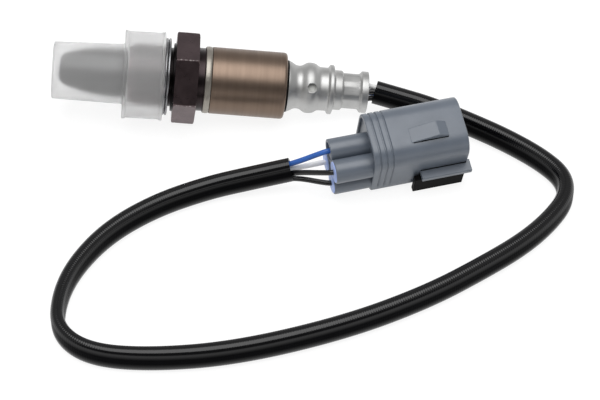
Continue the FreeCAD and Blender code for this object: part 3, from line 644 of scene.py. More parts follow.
def lofted(
    name: str,
    rings: Sequence[Sequence[Vector]],
    finish: Finishes,
    place: Matrix,
    sharp: float = 34.0,
) -> bpy.types.Object:
    """A closed skin over rings of equal counts, capped at both ends.

    Args:
        name: The object's name.
        rings: The rings from rear to front, each running from the top towards the positive side.
        finish: What it is dressed in.
        place: The group's place.
        sharp: Angle in degrees past which an edge stays crisp.

    Returns:
        The object.
    """
    verts = [vert for ring in rings for vert in ring]
    count = len(rings[0])
    numbers = [list(range(index * count, (index + 1) * count)) for index in range(len(rings))]
    faces = list(ring_faces(zip(numbers, numbers[1:])))
    faces.append(tuple(numbers[0]))
    faces.append(tuple(reversed(numbers[-1])))
    return piece(name, verts, faces, finish, place, sharp)


def bevelled(made: bpy.types.Object, width: float) -> bpy.types.Object:
    """Rounds every crisp edge of an object for good.

    Args:
        made: The object.
        width: The rounding in millimetres.

    Returns:
        The same object.
    """
    bevel = made.modifiers.new("edges", "BEVEL")
    bevel.width = width * MILLIMETRE
    bevel.segments = 2
    bevel.limit_method = "ANGLE"
    bevel.angle_limit = math.radians(30)
    return baked(made)


def baked(made: bpy.types.Object) -> bpy.types.Object:
    """Turns an object's modifiers into plain mesh.

    Args:
        made: The object.

    Returns:
        The same object without modifiers.
    """
    bpy.context.view_layer.update()
    evaluated = made.evaluated_get(bpy.context.evaluated_depsgraph_get())
    mesh = bpy.data.meshes.new_from_object(evaluated)
    mesh.name = made.name
    made.modifiers.clear()
    made.data = mesh
    return made


def block(
    name: str, low: Sequence[float], high: Sequence[float], finish: Finishes, edge: float
) -> bpy.types.Object:
    """A moulded block of the plug with rounded edges.

    Args:
        name: The object's name.
        low: Lowest corner in the plug's millimetres.
        high: Highest corner.
        finish: What it is dressed in.
        edge: The edges' rounding.

    Returns:
        The object.
    """
    corners = [(low[1], low[2]), (low[1], high[2]), (high[1], high[2]), (high[1], low[2])]
    rings = [[Vector((station, across, up)) for across, up in corners] for station in (low[0], high[0])]
    return bevelled(lofted(name, rings, finish, PLUG), edge)


def plate(
    name: str, side: Sequence[Point], near: float, far: float, finish: Finishes
) -> bpy.types.Object:
    """A flat form of the plug with one outline through its thickness.

    Args:
        name: The object's name.
        side: Stations and heights of its outline, anticlockwise when heights grow upwards.
        near: Where it starts across the plug.
        far: Where it ends.
        finish: What it is dressed in.

    Returns:
        The object.
    """
    rings = [[Vector((station, across, up)) for station, up in side] for across in (near, far)]
    return lofted(name, rings, finish, PLUG)


class Scatter:
    """A Geometry Nodes tree that sets copies of one small form at the points of a host mesh."""

    def __init__(self, label: str) -> None:
        """Builds the tree with its named inputs."""
        self.tree = bpy.data.node_groups.new(label, "GeometryNodeTree")
        face = self.tree.interface
        face.new_socket("Geometry", in_out="OUTPUT", socket_type="NodeSocketGeometry")
        face.new_socket("Geometry", in_out="INPUT", socket_type="NodeSocketGeometry")
        self.sockets = {
            name: face.new_socket(name, in_out="INPUT", socket_type=kind)
            for name, kind in (
                ("Form", "NodeSocketObject"),
                ("Size", "NodeSocketFloat"),
                ("Unevenness", "NodeSocketFloat"),
                ("Seed", "NodeSocketInt"),
                ("Finish", "NodeSocketMaterial"),
            )
        }
        self._wire()

    def _wire(self) -> None:
        """Adds the nodes from the host's points to the dressed copies."""
        nodes, links = self.tree.nodes, self.tree.links
        start = nodes.new("NodeGroupInput")
        end = nodes.new("NodeGroupOutput")
        form = nodes.new("GeometryNodeObjectInfo")
        form.transform_space = "ORIGINAL"
        points = nodes.new("GeometryNodeInstanceOnPoints")
        aim = nodes.new("FunctionNodeAlignRotationToVector")
        aim.axis = "Z"
        facing = nodes.new("GeometryNodeInputNamedAttribute")
        facing.data_type = "FLOAT_VECTOR"
        facing.inputs["Name"].default_value = "facing"
        chance = nodes.new("FunctionNodeRandomValue")
        chance.data_type = "FLOAT"
        low = nodes.new("ShaderNodeMath")
        low.operation = "SUBTRACT"
        real = nodes.new("GeometryNodeRealizeInstances")
        dress = nodes.new("GeometryNodeSetMaterial")
        links.new(start.outputs["Geometry"], points.inputs["Points"])
        links.new(start.outputs["Form"], form.inputs["Object"])
        links.new(form.outputs["Geometry"], points.inputs["Instance"])
        links.new(facing.outputs[0], aim.inputs["Vector"])
        links.new(aim.outputs["Rotation"], points.inputs["Rotation"])
        links.new(start.outputs["Size"], low.inputs[0])
        links.new(start.outputs["Unevenness"], low.inputs[1])
        links.new(low.outputs[0], chance.inputs[2])
        links.new(start.outputs["Size"], chance.inputs[3])
        links.new(start.outputs["Seed"], chance.inputs["Seed"])
        links.new(chance.outputs[1], points.inputs["Scale"])
        links.new(points.outputs["Instances"], real.inputs["Geometry"])
        links.new(real.outputs["Geometry"], dress.inputs["Geometry"])
        links.new(start.outputs["Finish"], dress.inputs["Material"])
        links.new(dress.outputs["Geometry"], end.inputs["Geometry"])

    def spread(
        self,
        name: str,
        spots: Sequence[tuple[Vector, Vector]],
        form: bpy.types.Object,
        finish: Finishes,
        uneven: float = 0.0,
        seed: int = 0,
    ) -> bpy.types.Object:
        """Sets the form at each spot.

        Args:
            name: The result's name.
            spots: Place and outward direction of each copy, in metres.
            form: The small form, standing on its own Z.
            finish: What the copies are dressed in.
            uneven: How much smaller a copy may be.
            seed: Fixes the copies' sizes.

        Returns:
            The copies as one plain mesh.
        """
        mesh = bpy.data.meshes.new(name)
        mesh.from_pydata([spot for spot, _ in spots], [], [])
        host = bpy.data.objects.new(name, mesh)
        bpy.context.scene.collection.objects.link(host)
        facing = mesh.attributes.new("facing", "FLOAT_VECTOR", "POINT")
        facing.data.foreach_set("vector", [value for _, way in spots for value in way])
        modifier = host.modifiers.new(name, "NODES")
        modifier.node_group = self.tree
        values = {
            "Form": form,
            "Size": 1.0,
            "Unevenness": uneven,
            "Seed": seed,
            "Finish": finish.value.material(),
        }
        for label, value in values.items():
            modifier[self.sockets[label].identifier] = value
        made = baked(host)
        bpy.data.objects.remove(form)
        return made


# Sensor


@dataclass
class Thread:
    """A screw thread cut on a turned outline."""

    start: float = -12.3
    end: float = -2.5
    pitch: float = 1.5
    depth: float = 0.85
    least_radius: float = 7.5
    valley_share: float = 0.86
    run_in: float = 0.8
    run_out: float = 0.6

    def radius(self, station: float, radius: float, angle: float) -> float:
        """The radius at one spot of the threaded length.

        Args:
            station: Place along the axis.
            radius: Plain radius there.
            angle: Turn about the axis.

        Returns:
            The radius with the thread's valley.
        """
        if not self.start <= station <= self.end or radius < self.least_radius:
            return radius
        turn = (station / self.pitch - angle / (2 * math.pi)) % 1.0
        valley = max(0.0, 1.0 - abs(turn - 0.5) * 2 / self.valley_share)
        fade = min(1.0, (station - self.start) / self.run_in, (self.end - station) / self.run_out)
        return radius - self.depth * valley * max(0.0, fade)


@dataclass
class TransitCap:
    """Stepped cap of frosted plastic over the protector."""

    tip: float = -33.4
    shoulder: float = -14.0
    mouth: float = -2.9
    tip_radius: float = 7.85
    base_radius: float = 8.3
    skirt_radius: float = 11.95
    lip_radius: float = 12.2
    lip: float = 0.9
    skirt_wall: float = 1.3
    wall: float = 0.9
    bore: float = 7.05
    lean: float = 1.1
    lean_axis: tuple[float, float, float] = (0.0, -0.669, 0.743)

    def build(self) -> bpy.types.Object:
        """The cap as one closed wall."""
        inner = self.skirt_radius - self.skirt_wall
        outline = softened([
            (self.tip, 0.0, 0.0),
            (self.tip, self.tip_radius, 0.7),
            (self.shoulder, self.base_radius, 0.5),
            (self.shoulder, self.lip_radius, 0.25),
            (self.shoulder + self.lip, self.lip_radius, 0.2),
            (self.shoulder + self.lip, self.skirt_radius, 0.15),
            (self.mouth - self.lip, self.skirt_radius, 0.15),
            (self.mouth - self.lip, self.lip_radius, 0.2),
            (self.mouth, self.lip_radius, 0.2),
            (self.mouth, inner, 0.2),
            (self.shoulder + self.wall, inner, 0.5),
            (self.shoulder + self.wall, self.bore, 0.3),
            (self.tip + self.wall, self.bore, 0.8),
            (self.tip + self.wall, 0.0, 0.0),
        ])
        pivot = Matrix.Translation((self.mouth, 0, 0))
        askew = Matrix.Rotation(math.radians(self.lean), 4, Vector(self.lean_axis))
        place = SENSOR @ pivot @ askew @ pivot.inverted()
        made = turned("transit_cap_shell", outline, Finishes.FROSTED, closed=False, place=place)
        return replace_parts(made, "transit_cap")


@dataclass
class Protector:
    """Drawn thimbles over the sensing element."""

    seat: float = -11.0
    tip: float = -31.6
    radius: float = 6.7
    wall: float = 0.5
    nose: tuple[Point, ...] = (
        (0.0, 0.0), (0.0, 2.6), (0.4, 3.5), (1.6, 4.4),
        (3.6, 5.1), (6.2, 5.7), (9.2, 6.3), (12.5, 6.7),
    )

    def build(self) -> bpy.types.Object:
        """The outer thimble, its nose a long smooth curve."""
        outer = [(self.tip + step, radius) for step, radius in self.nose]
        outer.append((self.seat, self.radius))
        inner = [(self.seat, self.radius - self.wall)]
        inner += [
            (self.tip + step + self.wall, max(0.0, radius - self.wall))
            for step, radius in reversed(self.nose)
        ]
        made = turned("protector_thimble", outer + inner[:-1], Finishes.PROTECTOR, 64, closed=False)
        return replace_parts(made, "outer_protector")


@dataclass
class Shell:
    """Threaded shell with its hexagon."""

    flats: float = 22.0
    hex_length: float = 6.3
    hex_roll: float = 38.0
    corner_round: float = 0.056
    chamfer: float = 0.25
    worn_edge: float = 1.6
    worn_rim: float = 0.3
    neck_shade: float = 0.72

    def hex_corner(self) -> float:
        """Half the width across the hexagon's corners."""
        return self.flats / 2 / math.cos(math.radians(30))

    def hex_radius(self, station: float, radius: float, angle: float) -> float:
        """The hexagon's radius at an angle, cut by the end chamfers.

        Args:
            station: Place along the axis.
            radius: Plain radius, above the corners where the hexagon is full.
            angle: Turn about the axis.

        Returns:
            The radius.
        """
        across = (math.degrees(angle) - self.hex_roll) % 60.0 - 30.0
        flat = self.flats / 2 / math.cos(math.radians(across))
        return min(flat, self.hex_corner() - self.corner_round, radius)

    def hexagon(self) -> bpy.types.Object:
        """The hexagon, its edges marked as worn."""
        low = self.hex_corner() - 2 * self.chamfer
        high = self.hex_corner() + 0.1
        outline = [
            (0.0, 0.0),
            (0.0, low - 0.3),
            (0.03, low),
            (self.chamfer * 0.5, low + self.chamfer),
            (self.chamfer + 0.05, high),
            (self.hex_length / 2, high),
            (self.hex_length - self.chamfer - 0.05, high),
            (self.hex_length - self.chamfer * 0.5, low + self.chamfer),
            (self.hex_length - 0.03, low),
            (self.hex_length, low - 0.3),
            (self.hex_length, 0.0),
        ]
        made = turned(
            "hexagon", outline, Finishes.SHELL, 360,
            closed=False, relief=self.hex_radius, phase=self.hex_roll,
        )
        wear = made.data.attributes.new("wear", "FLOAT", "POINT")
        made.data.attributes.new("shade", "FLOAT", "POINT")
        for index, spot in enumerate(own_spots(made)):
            turn = (math.degrees(math.atan2(spot.y, spot.z)) - self.hex_roll) % 60.0
            at_edge = max(0.0, 1.0 - min(turn, 60.0 - turn) / self.worn_edge)
            at_end = min(spot.x, self.hex_length - spot.x) < self.worn_rim
            rim = 0.45 if at_end and math.hypot(spot.y, spot.z) > 10.5 else 0.0
            wear.data[index].value = max(at_edge, rim)
        return made

    def build(self) -> bpy.types.Object:
        """Nose, thread, relief, collar, hexagon, neck and boss in one piece."""
        thread = Thread()
        outline = softened([
            (-13.1, 6.6, 0.0),
            (-13.1, 8.0, 0.15),
            (-12.2, 8.0, 0.1),
            (-11.5, 9.0, 0.1),
            (-2.4, 9.0, 0.1),
            (-2.4, 8.1, 0.1),
            (-0.6, 8.1, 0.1),
            (-0.6, 9.4, 0.12),
            (3.0, 9.4, 0.0),
            (3.0, 8.7, 0.0),
            (8.2, 8.7, 0.12),
            (8.2, 8.4, 0.0),
            (12.6, 8.4, 0.1),
            (12.6, 6.6, 0.0),
        ])
        outline = divided(outline, 0.14, thread.start - 0.3, thread.end + 0.3)
        body = turned("shell", outline, Finishes.SHELL, 72, relief=thread.radius)
        body.data.attributes.new("wear", "FLOAT", "POINT")
        # Painted shade: near black from the thread's end through the relief groove and collar, darkened
        # to neck_shade on the neck, none on the thread
        shade = body.data.attributes.new("shade", "FLOAT", "POINT")
        stations = [spot.x for spot in own_spots(body)]
        shades = [self.neck_shade if station > 4.0 else float(station > -3.2) for station in stations]
        shade.data.foreach_set("value", shades)
        made = joined("sensor_shell_turned", [self.hexagon(), body])
        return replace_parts(made, "sensor_shell")


@dataclass
class Gasket:
    """Folded crush gasket."""

    front: float = -2.9
    back: float = -1.45
    inner: float = 9.1
    outer: float = 10.7
    fold: float = 0.42

    def build(self) -> bpy.types.Object:
        """Two rolled lobes with a groove between them."""
        middle = (self.front + self.back) / 2
        outline = softened([
            (self.front, self.inner, 0.2),
            (self.front, self.outer - 0.1, 0.3),
            (self.front + 0.35, self.outer, 0.25),
            (middle - 0.1, self.outer - 0.15, 0.15),
            (middle, self.outer - self.fold - 0.25, 0.08),
            (middle + 0.1, self.outer - 0.15, 0.15),
            (self.back - 0.35, self.outer, 0.25),
            (self.back, self.outer - 0.1, 0.3),
            (self.back, self.inner, 0.2),
        ])
        made = turned("gasket_folded", outline, Finishes.GASKET)
        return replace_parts(made, "gasket_ring")


@dataclass
class Casing:
    """Weld ring and bronze-brown casing."""

    ring_start: float = 8.2
    ring_end: float = 10.1
    end: float = 30.75
    radius: float = 9.2
    joint_radius: float = 7.16
    bead_count: int = 54

    def ring(self, scatter: Scatter) -> bpy.types.Object:
        """The bright ring with a row of weld spots on its crown."""
        outline = softened([
            (self.ring_start, 8.4, 0.0),
            (self.ring_start, 9.15, 0.3),
            (self.ring_start + 0.9, 9.25, 0.3),
            (self.ring_end - 0.5, 9.2, 0.2),
            (self.ring_end, 9.0, 0.2),
            (self.ring_end, 8.4, 0.0),
        ])
        band = turned("weld_band", outline, Finishes.RING)
        dome = [(0.0, 0.0), (0.0, 0.5), (0.015, 0.4), (0.035, 0.22), (0.04, 0.0)]
        upright = Matrix.Rotation(math.radians(-90), 4, "Y")
        form = turned("weld_spot", dome, Finishes.RING, 10, closed=False, place=upright)
        spots = []
        for step in range(self.bead_count):
            way = spoke(2 * math.pi * step / self.bead_count)
            spot = SENSOR @ (Vector((self.ring_start + 0.95, 0, 0)) + way * self.radius)
            spots.append((spot * MILLIMETRE, SENSOR.to_3x3() @ way))
        beads = scatter.spread("weld_spots", spots, form, Finishes.RING, 0.25, 5)
        made = joined("weld_ring_beaded", [band, beads])
        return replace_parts(made, "weld_ring")

    def joint_shadow(self) -> bpy.types.Object:
        """Painted shadow: a near black ring where the vented cap leaves the casing."""
        start, end = self.end - 0.3, self.end + 0.6
        outline = [(start, 7.0), (start, self.joint_radius), (end, self.joint_radius), (end, 7.0)]
        return turned("casing_joint_line", outline, Finishes.GAP)

    def build(self) -> bpy.types.Object:
        """The drawn sleeve with its turned-in end."""
        outline = softened([
            (self.ring_end, 8.42, 0.0),
            (self.ring_end, self.radius, 0.2),
            (self.end, self.radius, 1.25),
            (self.end, 7.12, 0.25),
            (self.end - 0.8, 7.12, 0.2),
            (self.end - 0.8, 8.42, 0.2),
        ], 5)
        made = turned("casing_drawn", outline, Finishes.CASING, 128)
        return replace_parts(made, "outer_casing")


@dataclass
class VentedCap:
    """Silver upper cap with two crimps, four vents and a flat-sided groove."""

    base: float = 30.2
    wall: float = 0.5
    flat_count: int = 8
    flat_depth: float = 0.08
    groove_start: float = 16.5
    groove_end: float = 20.8
    vent_station: float = 7.6
    vent_radius: float = 1.25
    vent_angle: float = -45.0

    def corners(self) -> list[tuple[float, float, float]]:
        """Stations from the casing's end, radii and roundings of the wall's outside."""
        return [
            (-6.0, 7.1, 0.1),
            (1.4, 7.1, 0.5),
            (3.4, 5.95, 0.9),
            (4.7, 5.95, 0.8),
            (6.5, 7.1, 0.9),
            (8.2, 7.1, 0.9),
            (9.8, 6.0, 0.6),
            (12.2, 6.0, 0.3),
            (12.7, 6.85, 0.2),
            (13.7, 6.85, 0.25),
            (14.1, 5.5, 0.2),
            (16.1, 5.5, 0.2),
            (16.5, 4.95, 0.25),
            (21.0, 4.95, 0.25),
            (21.6, 5.75, 0.2),
            (23.4, 5.75, 0.2),
        ]

    def flattened(self, station: float, radius: float, angle: float) -> float:
        """The crimping jaws' flats round the groove."""
        along = station - self.base
        if not self.groove_start <= along <= self.groove_end or radius < 4.6:
            return radius
        step = 2 * math.pi / self.flat_count
        across = (angle + step / 2) % step - step / 2
        return min(radius + 0.06, (radius - self.flat_depth) / math.cos(across))

    def shell(self) -> bpy.types.Object:
        """The cap's wall with its vents cut through."""
        outer = [(self.base + along, radius, rounding) for along, radius, rounding in self.corners()]
        inner = [(station, radius - self.wall, rounding) for station, radius, rounding in outer[::-1]]
        outline = softened(outer + inner, 4)
        made = turned("vented_cap_crimped", outline, Finishes.CAP, 128, relief=self.flattened)
        for turn in range(4):
            self._cut_vent(made, spoke(math.radians(self.vent_angle + 90 * turn)))
        return made

    def _cut_vent(self, made: bpy.types.Object, way: Vector) -> None:
        """Adds a cut by a round punch along one direction."""
        stand = way.to_track_quat("X", "Z").to_matrix().to_4x4()
        place = SENSOR @ Matrix.Translation((self.base + self.vent_station, 0, 0)) @ stand
        profile = [(4.0, 0.0), (4.0, self.vent_radius), (9.0, self.vent_radius), (9.0, 0.0)]
        punch = turned("vent_punch", profile, Finishes.CAP, 32, closed=False, place=place)
        cut = made.modifiers.new("vent", "BOOLEAN")
        cut.operation = "DIFFERENCE"
        cut.solver = "EXACT"
        cut.object = punch
        baked(made)
        bpy.data.objects.remove(punch)

    def filter(self) -> bpy.types.Object:
        """White filter seen through the vents."""
        outline = [(34.4, 4.95), (34.4, 5.45), (42.3, 5.45), (42.3, 4.95)]
        outline = softened([(station, radius, 0.1) for station, radius in outline])
        made = turned("vent_filter_sleeve", outline, Finishes.FILTER, 64)
        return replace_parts(made, "vent_filter")

    def grommet(self) -> bpy.types.Object:
        """Rubber plug, slightly domed between the leads."""
        outline = softened([
            (43.7, 0.0, 0.0),
            (43.7, 4.4, 0.2),
            (52.3, 4.4, 0.4),
            (52.6, 3.9, 0.3),
            (52.6, 0.0, 0.0),
        ])
        made = turned("grommet_domed", outline, Finishes.GROMMET, 64, closed=False)
        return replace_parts(made, "grommet")

    def build(self) -> list[bpy.types.Object]:
        """Cap, filter and grommet."""
        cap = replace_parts(self.shell(), "vented_cap")
        return [cap, self.filter(), self.grommet()]


# Lead


@dataclass
class Path:
    """A smooth line through space and the frames along it."""

    controls: Sequence[Sequence[float]]
    step: float

    def points(self) -> list[Vector]:
        """Evenly spaced points, in metres, read from the line's own spline."""
        data = bpy.data.curves.new("route", "CURVE")
        data.dimensions = "3D"
        data.resolution_u = 32
        spline = data.splines.new("NURBS")
        spline.points.add(len(self.controls) - 1)
        for spot, control in zip(spline.points, self.controls):
            spot.co = (*(value * MILLIMETRE for value in control), 1.0)
        spline.order_u = 3
        spline.use_endpoint_u = True
        line = bpy.data.objects.new("route", data)
        bpy.context.scene.collection.objects.link(line)
        bpy.context.view_layer.update()
        mesh = bpy.data.meshes.new_from_object(line)
        raw = [vert.co.copy() for vert in mesh.vertices]
        bpy.data.objects.remove(line)
        bpy.data.meshes.remove(mesh)
        return self._even(raw)

    def _even(self, raw: Sequence[Vector]) -> list[Vector]:
        """The line's points at one spacing."""
        marks = [0.0]
        for first, second in zip(raw, raw[1:]):
            marks.append(marks[-1] + (second - first).length)
        count = max(2, round(marks[-1] / (self.step * MILLIMETRE)))
        spots, index = [], 0
        for number in range(count + 1):
            target = marks[-1] * number / count
            while index < len(marks) - 2 and marks[index + 1] < target:
                index += 1
            span = marks[index + 1] - marks[index]
            share = (target - marks[index]) / span if span > 0 else 0.0
            spots.append(raw[index].lerp(raw[index + 1], share))
        return spots

    @staticmethod
    def frames(spots: Sequence[Vector]) -> list[tuple[Vector, Vector, Vector]]:
        """Each point with the level and the upright direction across the line."""
        result = []
        for index, spot in enumerate(spots):
            ahead = spots[min(index + 1, len(spots) - 1)] - spots[max(index - 1, 0)]
            across = Vector((0, 0, 1)).cross(ahead).normalized()
            result.append((spot, across, ahead.cross(across).normalized()))
        return result


@dataclass
class Harness:
    """Black ribbed sleeve, pressed flat and standing on its edge."""

    height: float = 7.2
    width: float = 4.7
    crown: float = 1.1
    rib_pitch: float = 0.65
    rib_depth: float = 0.03
    around: int = 36
    mouth_depth: float = 3.0
    mouth_wall: float = 0.4
    waist: float = 0.07
    groove: float = 0.12
    pinch: float = 0.2
    pinch_share: float = 0.71
    route: tuple[tuple[float, float, float], ...] = (
        (45.6, 0.0, 6.4), (52.5, -1.5, 5.1), (61.0, -3.8, 3.9), (71.0, -9.2, 3.6),
        (81.5, -15.8, 3.6), (90.8, -23.3, 3.6), (96.2, -30.2, 3.6), (96.2, -37.6, 3.6),
        (91.2, -45.4, 3.6), (84.0, -53.0, 3.6), (74.0, -60.6, 3.6), (58.0, -71.3, 3.6),
        (36.5, -81.5, 3.6), (9.0, -89.8, 3.6), (-13.0, -92.0, 3.6), (-28.7, -90.3, 3.6),
        (-37.0, -83.0, 3.6), (-37.3, -72.5, 3.6), (-34.0, -61.5, 3.6), (-26.0, -49.5, 3.6),
        (-14.0, -40.0, 3.6), (0.0, -33.6, 3.8), (12.2, -31.0, 5.0), (22.6, -30.0, 7.2),
    )

    def half_width(self, share: float) -> float:
        """Half the sleeve's thickness, a little thinner through the left bend."""
        pinched = self.pinch * math.exp(-(((share - self.pinch_share) / 0.1) ** 2))
        return self.width / 2 * (1 - pinched)

    def section(
        self, spot: Vector, across: Vector, upright: Vector, half_width: float, half_height: float
    ) -> list[Vector]:
        """A flat-sided oval across the line, waisted between the two layers of wires.

        Args:
            spot: The line's point in metres.
            across: Level direction across the line.
            upright: The other direction across it.
            half_width: Half the thickness in millimetres.
            half_height: Half the height in millimetres.

        Returns:
            The ring's points in millimetres.
        """
        ring = []
        straight = half_height - half_width
        for step in range(self.around):
            angle = 2 * math.pi * step / self.around
            side, rise = math.sin(angle), math.cos(angle)
            up = straight * math.tanh(rise * 3.0) + half_width * rise
            up *= half_height / (straight * math.tanh(3.0) + half_width)
            narrowing = 1 - self.waist * math.exp(-((up / 1.1) ** 2))
            up *= self.crown if up > 0 else 1.0
            dip = self.groove * math.exp(-((side / 0.45) ** 2)) * math.copysign(1.0, rise)
            level = across * side * half_width * narrowing
            ring.append(spot / MILLIMETRE + level + upright * (up - dip))
        return ring

    def build(self) -> tuple[bpy.types.Object, list[Vector]]:
        """The sleeve with hollow mouths and a rib every turn of the weave."""
        step = self.rib_pitch / 4
        spots = Path(self.route, step).points()
        frames = Path.frames(spots)
        last = len(frames) - 1
        deep = round(self.mouth_depth / self.rib_pitch * 4)
        cuts = [(deep, self.mouth_wall), (0, self.mouth_wall)]
        for index in range(last + 1):
            cuts.append((index, self.rib_depth * (0.5 - 0.5 * math.cos(math.pi * index / 2))))
        cuts += [(last, self.mouth_wall), (last - deep, self.mouth_wall)]
        rings = [
            self.section(*frames[index], self.half_width(index / last) - inset, self.height / 2 - inset)
            for index, inset in cuts
        ]
        made = lofted("harness_sleeve_ribbed", rings, Finishes.SLEEVE, TABLE, 60)
        self._chart(made, [index * step for index, _ in cuts])
        return made, spots

    def _chart(self, made: bpy.types.Object, marks: Sequence[float]) -> None:
        """Maps the skin: millimetres along it, and turns round it."""
        chart = made.data.uv_layers.new(name="along")
        for polygon in made.data.polygons:
            for loop in polygon.loop_indices:
                vert = made.data.loops[loop].vertex_index
                chart.data[loop].uv = (marks[vert // self.around], vert % self.around / self.around)


@dataclass
class Leads:
    """Bare stretches of the four wires at the sensor and at the plug."""

    radius: float = 0.74
    around: int = 16
    spacing: float = 1.34
    exits: tuple[Point, ...] = ((0.9, 1.34), (0.9, -0.6), (-0.35, -0.75), (-0.85, -2.15))

    def tube(self, name: str, controls: Sequence[Vector], finish: Finishes) -> bpy.types.Object:
        """A round wire along a smooth line.

        Args:
            name: The object's name.
            controls: The line's control points in millimetres.
            finish: The insulation.

        Returns:
            The object.
        """
        frames = Path.frames(Path(controls, 0.35).points())
        rings = []
        for spot, across, upright in frames:
            ring = []
            for step in range(self.around):
                angle = 2 * math.pi * step / self.around
                offset = across * math.sin(angle) + upright * math.cos(angle)
                ring.append(spot / MILLIMETRE + offset * self.radius)
            rings.append(ring)
        return lofted(name, rings, finish, TABLE, 60)

    def build(self, route: Sequence[Vector], sockets: dict[str, Point]) -> list[bpy.types.Object]:
        """Each wire's two stretches as one piece.

        Args:
            route: The sleeve's line in metres.
            sockets: Across and up of each tube of the plug.

        Returns:
            The four wires.
        """
        wires = []
        start = (route[1] - route[0]).normalized()
        end = (route[-1] - route[-2]).normalized()
        up = Vector((0, 0, 1))
        places = {
            "blue": (Finishes.BLUE, 1, 1),
            "white": (Finishes.WHITE, 1, -1),
            "black_upper": (Finishes.BLACK, -1, 1),
            "black_lower": (Finishes.BLACK, -1, -1),
        }
        for (colour, (finish, far, high)), (aside, above) in zip(places.items(), self.exits):
            # The far pair crosses over between the sleeve and the sensor
            level = -high if far > 0 else high
            side = up.cross(start).normalized()
            mouth = route[0] / MILLIMETRE + side * far * 0.85 + up * level * 1.3
            across, rise = far * self.spacing, level * self.spacing
            line = [SENSOR @ Vector((station, across, rise)) for station in (50.0, 53.4)]
            line += [mouth - start * 0.3, mouth + start * 2.6]
            near = self.tube(f"near_{colour}", line, finish)
            side = up.cross(end).normalized()
            mouth = route[-1] / MILLIMETRE + side * aside + up * above
            across, rise = sockets[colour]
            line = [mouth - end * 2.4, mouth + end * 0.5]
            line += [PLUG @ Vector((station, across, rise)) for station in (-11.2, -9.8, -4.0)]
            wire = joined(f"lead_wire_{colour}_bare", [near, self.tube(f"far_{colour}", line, finish)])
            slot = "wire_" + colour.split("_")[0]
            wires.append(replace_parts(wire, f"lead_wire_{colour}"))
        return wires


# Plug


